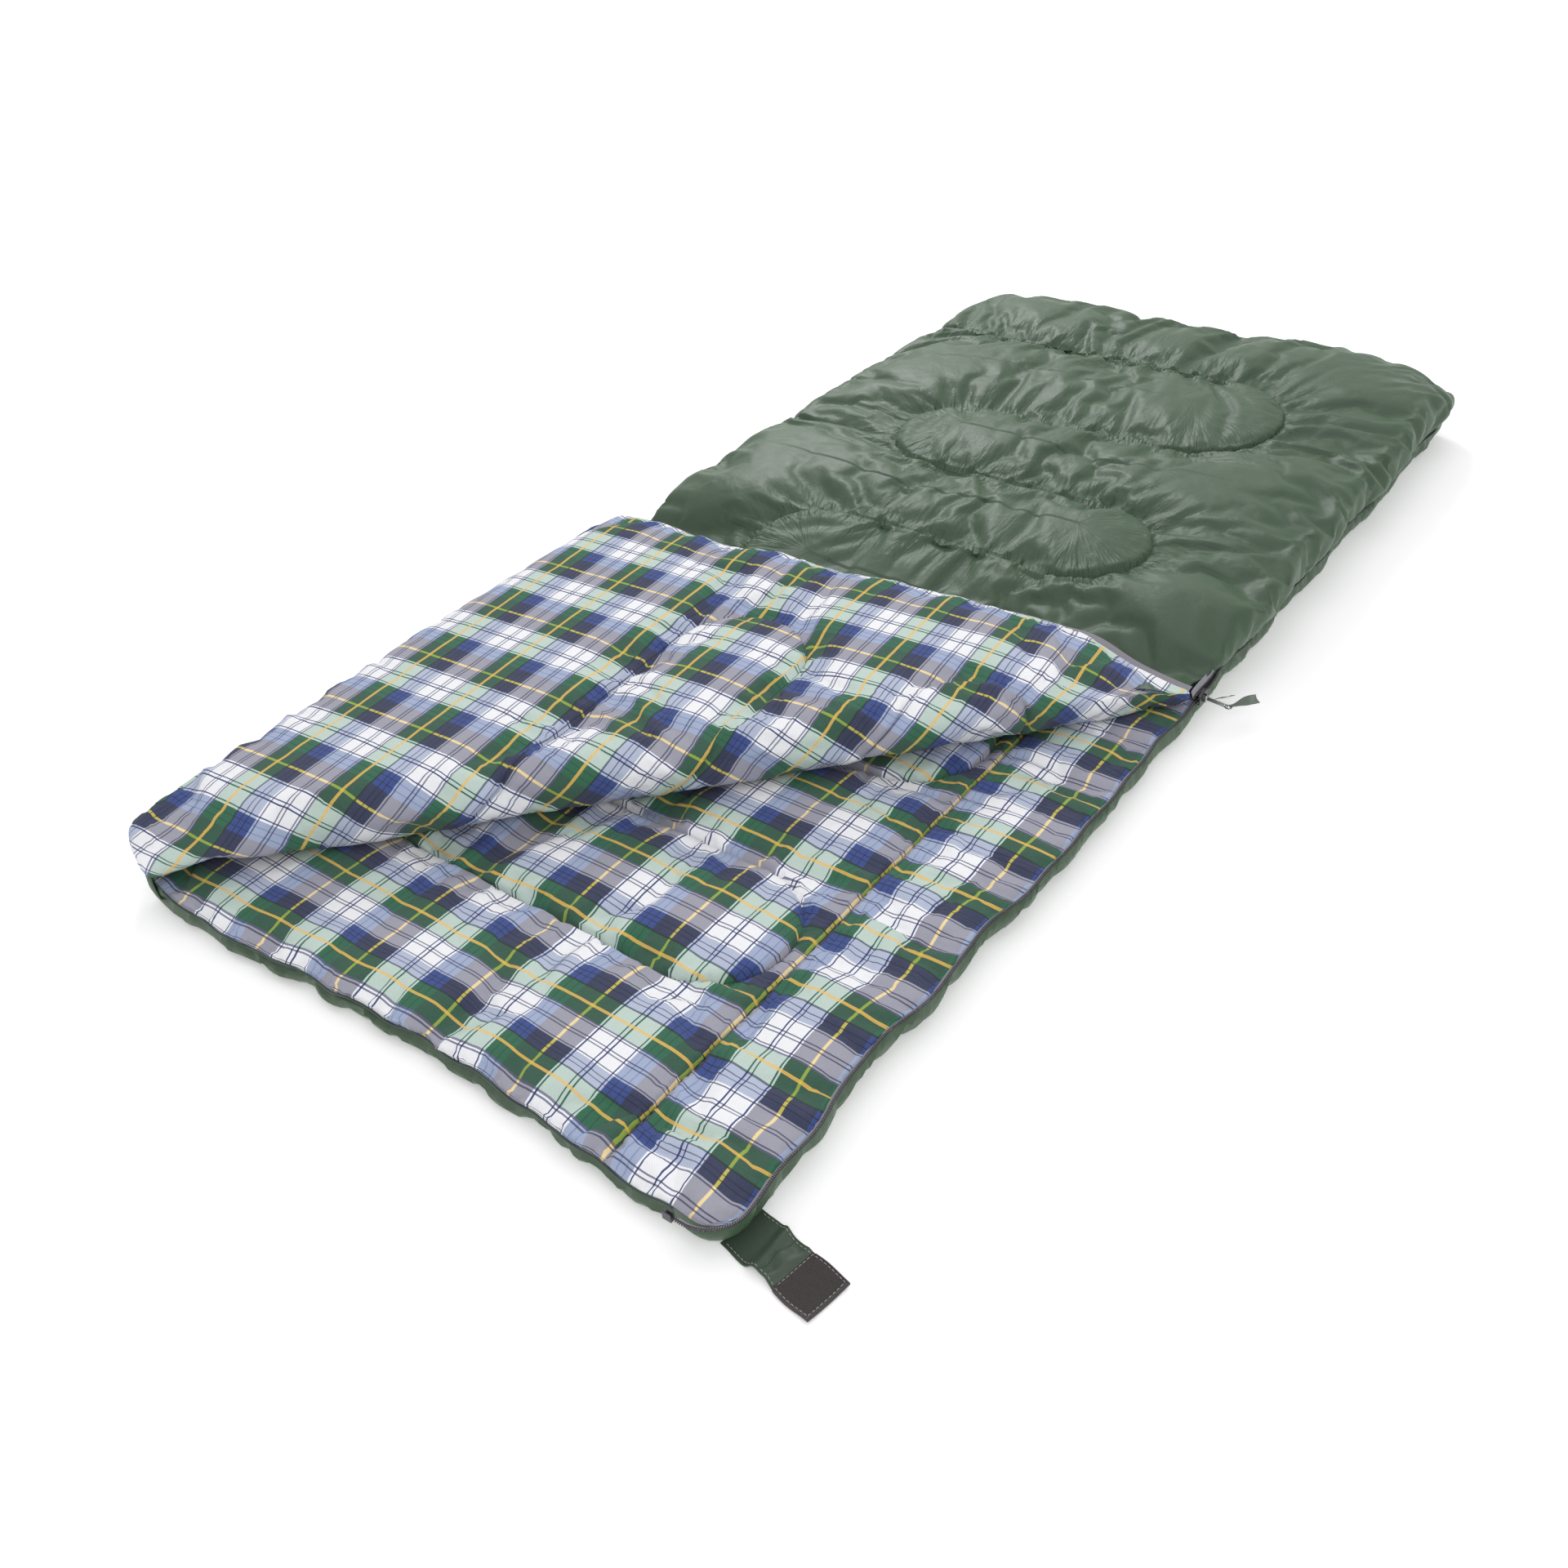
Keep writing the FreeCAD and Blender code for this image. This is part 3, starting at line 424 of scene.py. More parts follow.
class Shader:
    """Short-hand for building a node tree."""

    def __init__(self, name):
        self.mat = bpy.data.materials.new(name)
        self.mat.use_nodes = True
        self.bsdf = self.mat.node_tree.nodes["Principled BSDF"]
        self.geo = self.node("TexCoord").outputs["Object"]

    def node(self, kind, inputs=(), **values):
        """A node with its settings, and its inputs as values or other nodes' outputs."""
        n = self.mat.node_tree.nodes.new("ShaderNode" + kind)
        for k, v in values.items():
            setattr(n, k, v)
        for k, v in dict(inputs).items():
            self.put(n.inputs[k], v)
        return n

    def put(self, socket, value):
        if isinstance(value, bpy.types.NodeSocket):
            self.mat.node_tree.links.new(value, socket)
        else:
            socket.default_value = value

    def math(self, op, a, b=0.0):
        return self.node("Math", {0: a, 1: b}, operation=op).outputs[0]

    def times(self, a, b):
        return self.math("MULTIPLY", a, b)

    def noise(self, scale, detail=3.0, rough=0.5, at=None, distort=0.0):
        inputs = {"Scale": scale, "Detail": detail, "Roughness": rough, "Distortion": distort}
        inputs["Vector"] = self.geo if at is None else at
        return self.node("TexNoise", inputs).outputs["Fac"]

    def wave(self, scale, at, direction):
        n = self.node("TexWave", {"Vector": at, "Scale": scale}, wave_type="BANDS",
                      bands_direction=direction)
        return n.outputs["Fac"]

    def mix(self, fac, a, b, blend="MIX"):
        return self.node("Mix", {0: fac, 6: a, 7: b}, data_type="RGBA", blend_type=blend).outputs[2]

    def stripes(self, at, stops):
        """Colours that change sharply at each stop."""
        n = self.node("ValToRGB", {0: at})
        n.color_ramp.interpolation = "CONSTANT"
        e = n.color_ramp.elements
        while len(e) < len(stops):
            e.new(1.0)
        for item, (pos, col) in zip(e, stops):
            item.position = pos
            item.color = col
        return n.outputs[0]

    def grey(self, fac, low, high):
        return self.node("MapRange", {0: fac, 3: low, 4: high}).outputs[0]

    def bump(self, height, strength, distance, below=None):
        n = self.node("Bump", {"Height": height, "Strength": strength, "Distance": distance})
        if below is not None:
            self.put(n.inputs["Normal"], below)
        return n.outputs[0]

    def uv(self, name="cloth"):
        return self.node("UVMap", uv_map=name).outputs[0]

    def split(self, vector):
        return self.node("SeparateXYZ", {0: vector}).outputs

    def set(self, **values):
        names = {
            "color": "Base Color", "rough": "Roughness", "normal": "Normal", "metal": "Metallic",
            "spec": "Specular IOR Level", "sheen": "Sheen Weight", "sheen_rough": "Sheen Roughness",
            "sheen_tint": "Sheen Tint",
        }
        for k, v in values.items():
            self.put(self.bsdf.inputs[names[k]], v)
        return self.mat


TWILL = 0.0013  # twill repeat, metres


def plaid_material():
    """Brushed cotton plaid: warp and weft colours crossing in a fine twill. The UV counts plaid repeats."""
    sh = Shader("plaid_flannel")
    u, v, _ = sh.split(sh.uv())
    wobble = sh.grey(sh.noise(60, 2), -0.006, 0.006)
    fu = sh.math("FRACT", sh.math("ADD", u, wobble))
    fv = sh.math("FRACT", sh.math("ADD", v, wobble))
    # colours where each warp stripe crosses green, blue and white weft:
    # yellow, navy, white, thin line, royal, deep blue
    green = [(150, 172, 56), (36, 86, 62), (200, 219, 208), (44, 104, 80), (28, 102, 68), (24, 82, 58)]
    blue = [(204, 190, 72), (40, 48, 82), (188, 197, 218), (46, 60, 120), (44, 71, 140), (34, 50, 104)]
    white = [(255, 228, 165), (164, 163, 176), (253, 253, 254), (58, 72, 128), (168, 181, 210),
             (142, 155, 190)]
    yel, nav, whi, lin, roy, dee = range(6)
    warp = [
        (0, yel), (0.015, nav), (0.18, whi), (0.199, lin), (0.211, whi), (0.373, lin), (0.385, whi),
        (0.414, lin), (0.426, whi), (0.579, lin), (0.591, whi), (0.61, roy), (0.667, dee), (0.678, roy),
        (0.737, dee), (0.748, roy), (0.80, nav), (0.985, yel),
    ]
    on_green, on_blue, on_white = (
        sh.stripes(fu, [(at, srgb(*colors[c])) for at, c in warp]) for colors in (green, blue, white)
    )

    def bands(*edges):
        """White between each pair of edges, black elsewhere."""
        stops = [(0, (0, 0, 0, 1))] if edges[0] else []
        return sh.stripes(fv,
                          stops + [(at, ((1, 1, 1, 1), (0, 0, 0, 1))[k % 2]) for k, at in enumerate(edges)])

    blue_part = bands(0.188, 0.415)
    white_part = bands(0.415, 0.838)
    dark = bands(0.165, 0.188, 0.262, 0.274, 0.325, 0.337, 0.437, 0.453, 0.596, 0.61, 0.640, 0.654, 0.788,
                 0.804,
                 0.818, 0.838)
    gold = bands(0, 0.018, 0.982)
    cloth = sh.mix(blue_part, on_green, on_blue)
    cloth = sh.mix(white_part, cloth, on_white)
    cloth = sh.mix(sh.times(dark, 0.85), cloth, sh.mix(1.0, cloth, srgb(84, 90, 128), "MULTIPLY"))
    cloth = sh.mix(sh.times(gold, 0.72), cloth, srgb(250, 200, 84))
    # twill: the threads on top run diagonally
    diag = sh.math("ADD", sh.times(u, PLAID_X / TWILL), sh.times(v, PLAID_Y / TWILL))
    twill = sh.math("SINE", sh.times(diag, 2 * math.pi))
    shade = sh.mix(1.0, cloth, srgb(200, 202, 214), "MULTIPLY")
    cloth = sh.mix(sh.grey(twill, 0.0, 0.5), cloth, shade)
    speck, worn = sh.noise(1400, 2, 0.6), sh.noise(9, 4, 0.6)
    cloth = sh.mix(sh.grey(speck, 0.0, 0.10), cloth, srgb(215, 215, 222))
    cloth = sh.mix(sh.grey(worn, 0.0, 0.12), cloth, sh.mix(1.0, cloth, srgb(205, 205, 215), "MULTIPLY"))
    nap = sh.bump(sh.noise(700, 3, 0.7), 0.35, 0.0006, sh.bump(twill, 0.25, 0.0003))
    soft = sh.bump(sh.noise(75, 3, 0.55, distort=0.6), 0.35, 0.004, nap)
    tint = srgb(225, 228, 240)
    return sh.set(color=cloth, rough=0.92, normal=soft, spec=0.15, sheen=0.10, sheen_rough=0.6,
                  sheen_tint=tint)


def satin_material(name, base, shade, light, crinkle=1.0, gathered=False):
    """Smooth polyester taffeta: painted shade in random patches, a painted sheen towards grazing angles and
    painted glints of the lit colour, silky highlights, fine weave, crinkles and gathers along the quilting.
    """
    sh = Shader(name)
    # shade is the satin's colour in shade and light its colour where lit; both are painted onto it below
    base, shade, light = srgb(*base), srgb(*shade), srgb(*light)
    # painted shade: the shade colour mixed in over large random patches
    color = sh.mix(sh.grey(sh.noise(5, 3, 0.6), 0.0, 0.7), base, shade)
    # painted sheen: the lit colour mixed in towards grazing angles
    painted_sheen = sh.node("LayerWeight", {"Blend": 0.35}).outputs["Facing"]
    color = sh.mix(sh.times(painted_sheen, 0.45), color, light)
    # painted glints: a fine speckle of the lit colour
    color = sh.mix(sh.grey(sh.noise(900, 2), 0.0, 0.10), color, light)
    ribs = sh.bump(sh.wave(2200, sh.uv(), "X"), 0.10, 0.0002)
    ribs = sh.bump(sh.wave(1700, sh.uv(), "Y"), 0.10, 0.0002, ribs)
    folds = sh.bump(sh.noise(30, 4, 0.6, distort=0.8), 0.22 * crinkle, 0.006, ribs)
    if gathered:
        along, away, _ = sh.split(sh.uv("gather"))
        for size, reach, height in ((0.013, 0.045, 0.011), (0.006, 0.020, 0.0055)):
            at = sh.node("CombineXYZ",
                         {0: sh.times(along, 1 / size), 1: sh.times(away, 0.22 / size)}).outputs[0]
            fade = sh.math("EXPONENT", sh.times(away, -1 / reach))
            folds = sh.bump(sh.times(sh.noise(1.0, 2, 0.5, at=at, distort=0.5), fade), 0.85, height, folds)
    rough = sh.grey(sh.noise(60, 3), 0.38, 0.50)
    return sh.set(color=color, rough=rough, normal=folds, spec=0.44, sheen=0.08, sheen_rough=0.3,
                  sheen_tint=light)


def thread_material(name, color):
    sh = Shader(name)
    color = srgb(*color)
    tone = sh.mix(sh.grey(sh.noise(800, 3), 0, 0.6), color, tuple(c * 0.6 for c in color[:3]) + (1,))
    return sh.set(color=tone, rough=0.6, normal=sh.bump(sh.noise(3000, 2), 0.4, 0.0002), sheen=0.3)


def tape_material():
    """Woven zip tape."""
    sh = Shader("zip_tape_weave")
    u, v, _ = sh.split(sh.uv())
    ribs = sh.math("SINE", sh.times(u, 2 * math.pi / 0.0012))
    rows = sh.math("SINE", sh.times(v, 2 * math.pi / 0.0016))
    weave = sh.times(ribs, rows)
    tone = sh.mix(sh.grey(weave, 0.0, 0.25), srgb(128, 124, 134), srgb(84, 80, 92))
    tone = sh.mix(sh.grey(sh.noise(40, 4), 0, 0.35), tone, srgb(150, 148, 156))
    return sh.set(color=tone, rough=0.78, normal=sh.bump(weave, 0.4, 0.0004), sheen=0.3)


def plain_material(name, color, wear, rough, metal=0.0, grain=900, depth=0.0002, sheen=0.0):
    """Moulded plastic or metal with fine grain, uneven polish and worn tone."""
    sh = Shader(name)
    tone = sh.mix(sh.grey(sh.noise(220, 5, 0.6), 0.0, 0.55), srgb(*color), srgb(*wear))
    gloss = sh.grey(sh.noise(500, 4), rough * 0.8, min(1.0, rough * 1.25))
    return sh.set(color=tone, rough=gloss, metal=metal, normal=sh.bump(sh.noise(grain, 3), 0.3, depth),
                  sheen=sheen)


PLAID = plaid_material()
# each satin: its own colour, then a painted-shade tone and a painted-highlight tone
SATIN = satin_material("shell_satin", (55, 75, 56), (43, 61, 45), (98, 128, 97), gathered=True)
SATIN_SIDE = satin_material("side_satin", (55, 75, 56), (43, 61, 45), (98, 128, 97))
SATIN_STRAP = satin_material("strap_satin", (58, 72, 60), (46, 60, 50), (112, 132, 112), 0.6)
SATIN_PULL = satin_material("pull_ribbon_satin", (88, 98, 88), (68, 78, 70), (140, 150, 140), 0.3)
THREAD_GREEN = thread_material("thread_green", (70, 88, 72))
THREAD_DARK = thread_material("thread_dark", (40, 62, 52))
THREAD_LIGHT = thread_material("thread_light", (176, 178, 172))
TAPE = tape_material()
COIL = plain_material("zip_coil_nylon", (52, 50, 58), (88, 86, 94), 0.42)
STEEL = plain_material("zip_nickel", (188, 188, 190), (140, 140, 144), 0.28, 1.0)
DARK_STEEL = plain_material("zip_dark_nickel", (62, 62, 66), (110, 108, 108), 0.35, 1.0)
HOOKS = plain_material("hook_fabric", (44, 38, 38), (66, 58, 56), 0.8, grain=2600, depth=0.0006, sheen=0.4)
LOOPS = plain_material("loop_fabric", (60, 66, 62), (90, 96, 90), 0.95, grain=1800, depth=0.0008, sheen=0.8)
PIPING = plain_material("hook_edging", (84, 66, 78), (60, 48, 56), 0.85, grain=2600, depth=0.0004,
                        sheen=0.4)


def plaid_uv(p, start, way):
    """Plaid repeats counted from a yellow crossing. p is the cloth's own flat plan position."""
    return (p - np.array(start)) / np.array([PLAID_X, PLAID_Y]) * np.array(way)


MAIN_PLAID = ((-0.2223, Y0 + 0.039), (1, 1))
STRIP_PLAID = ((0.3825, Y0 + 0.078), (-1, -1))  # the strip was cut the other way round
TOP_PLAID = ((-0.021, Y0 + 0.001), (-1, 1))  # the top layer shows the cloth turned over


GATHER_STEP = 0.002  # spacing of the quilting points that gathers are counted from


def sheet_normals(co, faces, flip=False):
    """Normals of a sheet before it is cut, so that no crease shows at the cut."""
    whole = make("whole", co, faces, PLAID, flip=flip)
    normals = np.zeros(len(co) * 3)
    whole.data.vertices.foreach_get("normal", normals)
    bpy.data.objects.remove(whole)
    return normals.reshape(-1, 3)


def face_mean(values, faces):
    return np.array([values[list(f)].mean() for f in faces])


def add_gather(ob, flat, path):
    """A second UV layer: how far along the quilting each point lies, and how far from it."""
    tree = tree_of(resample(path, GATHER_STEP))
    found = [tree.find((q[0], q[1], 0)) for q in flat]
    pair = np.array([(f[1] * GATHER_STEP, f[2]) for f in found], np.float32)
    corner = np.zeros(len(ob.data.loops), int)
    ob.data.loops.foreach_get("vertex_index", corner)
    ob.data.uv_layers.new(name="gather").data.foreach_set("uv", pair[corner].ravel())


def finish(ob, body, slot, *nodes):
    """Puts a piece on its body. A piece for flap_corner is only baked where it lies and put on no body."""
    if body == "flap_corner":
        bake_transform(ob)
    else:
        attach(ob, body)
    if nodes:
        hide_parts(*nodes)
    return ob


# ---- small made parts
def tube(path, radius, sides=6):
    """Vertices and faces of a round tube along a polyline."""
    path = np.asarray(path)
    t = unit(np.gradient(path, axis=0))
    up = np.where(np.abs(t[:, 2:3]) > 0.9, [[1.0, 0, 0]], [[0, 0, 1.0]])
    a = unit(np.cross(t, up))
    b = np.cross(a, t)
    r = np.broadcast_to(radius, len(path))[:, None]
    rings = [path + r * (a * math.cos(k) + b * math.sin(k)) for k in np.arange(sides) * 2 * math.pi / sides]
    return np.stack(rings, 1).reshape(-1, 3), ring_faces(len(path), sides)


def joined(parts):
    """Several (vertices, faces) as one."""
    co, faces, n = [], [], 0
    for c, f in parts:
        co.append(c)
        faces += [tuple(v + n for v in face) for face in f]
        n += len(c)
    return np.vstack(co), faces


def stitches(name, path, normal_lift, material, radius=0.00042, stitch=0.0034, gap=0.0014):
    """A row of short raised thread stitches along a path of points."""
    s = travel(path)
    parts = []
    at = 0.001
    jump = length(np.diff(path, axis=0))
    while at + stitch < s[-1]:
        k = min(np.searchsorted(s, at + stitch / 2), len(jump)) - 1
        if jump[max(k, 0)] < 0.02:
            t = np.array([at, at + stitch * 0.25, at + stitch * 0.75, at + stitch])
            q = np.stack([np.interp(t, s, path[:, i]) for i in range(3)], 1)
            q += np.outer([-0.3, 0.9, 0.9, -0.3], normal_lift) * 0.0006
            parts.append(tube(q, radius * np.array([0.5, 1, 1, 0.5]), 5))
        at += stitch + gap
    co, faces = joined(parts)
    return make(name, co, faces, material)


def sew(name, path, body, material, *nodes, **more):
    """Stitches along a path, lying upwards, put on a body."""
    return finish(stitches(name, path, (0, 0, 1), material, **more), body, "thread", *nodes)


def band(path, side, normal, width, thick):
    """A flat strip along a path: from the path, width along side, thick along normal. Closed and thin."""
    path, side, normal = np.asarray(path), np.asarray(side), np.asarray(normal)
    cols = [(0, -0.5), (0.5, -0.5), (1, -0.5), (1, 0.5), (0.5, 0.5), (0, 0.5)]
    w = np.broadcast_to(width, len(path))[:, None]
    rings = np.stack([path + side * w * u + normal * thick * v for u, v in cols], 1)
    n, m = len(path), len(cols)
    uv = np.stack([np.repeat(travel(path), m), np.tile([u for u, _ in cols], n) * np.repeat(w[:, 0], m)], 1)
    return rings.reshape(-1, 3), ring_faces(n, m), uv


def coil(path, radius=0.0013, wire=0.00052, pitch=0.0023):
    """A zip's coil: a tight round helix along a path."""
    path = resample(np.asarray(path), pitch / 6)
    t = unit(np.gradient(path, axis=0))
    a = unit(np.cross(t, [0, 0, 1.0]))
    b = np.cross(a, t)
    ang = np.arange(len(path)) * 2 * math.pi / 6
    helix = path + radius * (a * np.cos(ang)[:, None] * 1.25 + b * np.sin(ang)[:, None])
    return tube(helix, wire, 4)


# ---- the bag's plan and heights
BAND = 0.062  # cloth that turns over the edge of a shell
REACH = 0.010  # the turn starts this far inside the rim
CORNER = 0.036  # plan radius of the zipped rim's corners
RIM_BOTTOM, RIM_TOP = 0.0335, 0.0500  # heights where the shells meet the zip
# heights of the flap's edges: its shell (bag closed), its lining (folded back)
FLAP_RIM, LINING_RIM = 0.062, 0.1055
FOLD_Y = -0.0375  # where the fold meets the zip
STITCH_FLAP, STITCH_TOP = 0.064, 0.090  # shell seams under the flap, and on the foot half
HALF_X = (X1 - X0) / 2
HALF_Y = (Y1 - Y0) / 2


def flap_edge_y(x):
    """Where the turned-back flap's zipped edge lies on the bag."""
    a = FOLD_END
    b = mirrored(np.array([[X1, Y0]]))[0]
    return a[1] + (x - a[0]) * (b[1] - a[1]) / (b[0] - a[0])


def flap_rim_z(y):
    """Height (bag closed) of the top layer's zipped rim: it lifts away near the fold's end."""
    low = np.where(y > FOLD_Y, RIM_TOP, 0.068)
    span = np.where(y > FOLD_Y, 0.10, 0.13)
    return low + (0.074 - low) * (1 - smooth(np.abs(y - FOLD_Y) / span))


def top_shell():
    """The shell of the whole top layer as one sheet. It is cut along the fold later."""
    half_x, half_y = HALF_X - REACH + BAND, HALF_Y - REACH + BAND
    radius = CORNER + BAND - REACH
    fold = np.array([HINGE[:2] - ALONG * 0.1, HINGE[:2] + ALONG * (FOLD_LENGTH + 0.1)])
    flat, faces, kind, orders, plan, t, n = lid(half_x, half_y, radius, BAND, [TOP_QUILT, fold], TOP_GRID)
    on_flap = fold_coords(plan)[1] > 0
    past = plan[:, 1] - flap_edge_y(plan[:, 0])
    foot = smooth((past - 0.01) / 0.13) * ~on_flap
    pinch = bell(length(plan - np.array([X1, Y1])), 0, 0.085)
    foot = foot * (1 - 0.75 * pinch)
    seam_z = STITCH_FLAP + (STITCH_TOP - STITCH_FLAP) * foot
    away = nearest(flat, TOP_QUILT)
    dome = 0.006 * (1 - np.exp(-away / 0.03))
    rim_z = np.where(plan[:, 0] > 0, flap_rim_z(plan[:, 1]), np.where(on_flap, FLAP_RIM, RIM_TOP))
    rim_z = np.where((plan[:, 1] < -0.9) & (plan[:, 0] < 0.3), FLAP_RIM, rim_z)
    free_z = seam_z + dome + 0.004 + ruffle(flat, 0.028, 0.003, 1.5) * (away > 0.008)
    start_z = np.where(kind == 2, seam_z, free_z)
    co = edged(plan, t, n, start_z, rim_z, 150)  # curls most of the way round to the zip
    pinned = (kind == 1) | (kind == 2)
    limit = 0.011 + 0.019 * foot
    out = inflated(co, faces, pinned, limit, slack=0.075)
    cap = np.where(on_flap, 0.0812, 0.0815 + 0.041 * foot)
    out[:, 2] = capped(out[:, 2], cap - 0.006, 0.006)
    return flat, faces, orders, rippled(out)


def flap_radius(s):
    """(depth, height above the axis, drop below it) of the roll of cloth at the fold, along the fold."""
    left = np.sqrt(np.clip(1 - ((0.035 - np.clip(s, 0, 0.035)) / 0.035) ** 2, 0, 1))
    right = 1 - smooth((s - FOLD_LENGTH + 0.34) / 0.36)
    body = 0.040 - 0.010 * (1 - smooth(s / 0.20))
    wav = 1 + 0.06 * np.sin(s * 23.0) + 0.04 * np.sin(s * 51.0 + 1.0)
    depth = body * wav * (0.25 + 0.75 * left) * (0.10 + 0.90 * right)
    rise = body * (0.55 + 0.45 * left) * (0.16 + 0.84 * right)
    return depth, rise, 0.040 + 0.012 * (1 - smooth(s / 0.10))


def flap_lining():
    """The flap's lining, turned back, with the roll of cloth round the fold, as one sheet."""
    rim = 0.004
    strip = 0.150
    s0, s1 = 0.004, FOLD_LENGTH - 0.004
    at = lambda s, m: tuple(HINGE[:2] + ALONG * s + OPEN * m)
    # zip side and head side of the flap, in the bag's closed plan
    corners = [at(s0, -strip), at(s1, -strip), at(s1, 0.0), (X1 - rim, -0.043), (X1 - rim, Y0 + rim),
               (X0 + 0.03, Y0 + rim), at(s0, 0.0)]
    outline = rounded(corners, [0, 0, 0, 0.01, 0.030, 0, 0])
    flat, faces, kind, orders = region(outline, [TOP_QUILT], LINING_GRID)
    s, m = fold_coords(flat)
    depth, rise, drop = flap_radius(s)
    # the turned-over band at the flap's own zip and head edges
    edge = np.minimum(X1 - rim - flat[:, 0], flat[:, 1] - (Y0 + rim))
    t = np.clip(1 - edge / 0.040, 0, 1) * (m > 0)
    away = nearest(flat, TOP_QUILT)
    dome = 0.007 * (1 - np.exp(-away / 0.03)) + ruffle(flat, 0.026, 0.003, 4.5) * (away > 0.008)
    top = AXIS_Z + rise - 0.005
    near = np.exp(-np.maximum(m, 0) / 0.06)
    near = np.maximum(near, 1 - smooth((FOLD_LENGTH - s) / 0.16))
    free = (0.109 + dome) * (1 - near) + top * near
    sewn = 0.1035 * (1 - near) + (AXIS_Z + rise - 0.012) * near
    z_flap = np.where(kind == 2, sewn, free)
    above = smooth(m / 0.03)
    z_flap = np.maximum(z_flap, 0.1045 * above + (AXIS_Z + rise - 0.005) * (1 - above))
    rim_z = 2 * AXIS_Z - flap_rim_z(flat[:, 1]) + 0.0015
    rim_z = np.where(flat[:, 0] < 0.3, LINING_RIM, rim_z)
    z_flap = z_flap + (rim_z - z_flap) * (1 - np.sqrt(np.clip(1 - t * t, 0, 1)))
    drawn = rippled(np.column_stack([flat, m]))[:, :2]
    flap_plan = mirrored(flat + (drawn - flat) * smooth(m / 0.05)[:, None])
    # the roll: an arc over the front of the fold, then flat beneath
    arc = math.pi / 2 * (depth + drop) * 0.98
    psi = math.pi / 2 - math.pi * np.clip(-m / arc, 0, 1)
    pinch = np.where(kind == 2, 0.84, 1.0)
    under = np.maximum(-m - arc, 0)
    r = depth * np.cos(psi) * pinch - under
    zeta = np.where(psi > 0, rise - 0.005, drop) * np.sin(psi) * np.where(kind == 2, 0.93, 1.0)
    roll_plan = HINGE[:2] + np.outer(s, ALONG) + np.outer(r, OPEN)
    on_roll = m < 0
    co = np.where(on_roll[:, None], np.column_stack([roll_plan, AXIS_Z + zeta]),
                  np.column_stack([flap_plan, z_flap]))
    pinned = (kind == 1) | (kind == 2)
    limit = np.where(on_roll, 0.008, 0.014)
    out = inflated(co, faces, pinned, limit, slack=0.05, flip=True)
    out[:, 2] = capped(out[:, 2], 0.118, 0.008)
    out = np.where(m[:, None] > 0, settled(out, SINK_LINING, True), settled(out, SINK_LINING))
    return flat, faces, orders, out


def head_rim(plan, low):
    """Height of the bottom layer's rim: low along the head hem, rising to the zip and the closed side."""
    at_zip = smooth((plan[:, 0] - (X1 - 0.10)) / 0.09)
    at_side = smooth((-plan[:, 0] + X0 + 0.13) / 0.12)
    head = low + (RIM_BOTTOM - low) * at_zip + 0.017 * at_side
    side = np.where(plan[:, 0] < X0 + 0.05, RIM_BOTTOM + 0.004, RIM_BOTTOM)
    return side + (head - side) * smooth((Y0 + 0.14 - plan[:, 1]) / 0.10)


def bottom_lining():
    """The lining of the bottom layer, with the seam between its main panel and its side strip."""
    reach, width, radius = 0.030, 0.034, CORNER + 0.004
    half_x, half_y = HALF_X + 0.001 - reach + width, HALF_Y - 0.001 - reach + width
    seam = np.array([(SEAM_X, -half_y - 0.01), (SEAM_X, half_y + 0.01)])
    lines = [BOTTOM_QUILT, seam]
    flat, faces, kind, orders, plan, t, n = lid(half_x, half_y, radius, width, lines, BOTTOM_GRID)
    away = nearest(flat, BOTTOM_QUILT)
    beside = np.abs(flat[:, 0] - SEAM_X)
    dome = 0.006 * (1 - np.exp(-away / 0.03)) - 0.004 * np.exp(-beside / 0.012)
    dome = dome + ruffle(flat, 0.026, 0.0025, 7.5) * (away > 0.008)
    start = np.where(kind == 2, 0.019, 0.026 + dome)
    start = np.where(kind == 3, 0.0235, start)
    co = edged(plan, t, n, start, head_rim(plan, 0.0225), 90, reach)
    out = inflated(co, faces, kind > 0, np.full(len(co), 0.0125), slack=0.06)
    out[:, 2] = capped(out[:, 2], 0.034, 0.0078)
    out[:, 1] += 0.006 * smooth((-0.86 - out[:, 1]) / 0.07)
    return flat, faces, orders, rippled(out, head=True)


def bottom_shell():
    """The shell under the bottom layer and up its sides to the zip."""
    reach, width, radius = 0.024, 0.040, CORNER + 0.016
    half_x, half_y = HALF_X - reach + width, HALF_Y - 0.002 - reach + width
    flat, faces, kind, _, plan, t, n = lid(half_x, half_y, radius, width, [BOTTOM_QUILT], UNDER_GRID)
    start = np.where(kind == 2, 0.0075, 0.0035) + ruffle(flat, 0.030, 0.003, 9.5) * (kind == 0)
    co = edged(plan, t, n, start, head_rim(plan, 0.0205), 100, reach)  # climbs from the ground
    out = inflated(co, faces, kind > 0, np.full(len(co), 0.010), slack=0.075, flip=True)
    out[:, 1] += 0.006 * smooth((-0.86 - out[:, 1]) / 0.07) * t ** 2
    out[:, 2] = 0.5 * (out[:, 2] + np.sqrt(out[:, 2] ** 2 + 0.0012 ** 2))
    return flat, faces, rippled(out, head=True)


# ---- build the cloth
def cut_piece(name, sheet, uv, keep, material, body, slot, nodes, place=None, normals=None, quilt=None,
              flip=False):
    """A piece cut from a sheet (points, faces): put in place, with the sheet's own normals, on its body."""
    co, fs, uv, used = subset(*sheet, uv, keep)
    ob = make(name, place(co) if place else co, fs, material, uv, flip=flip)
    if quilt is not None:
        add_gather(ob, uv, quilt)
    if normals is not None:
        ob.data.normals_split_custom_set_from_vertices([tuple(v) for v in normals[used]])
    return finish(ob, body, slot, *nodes)


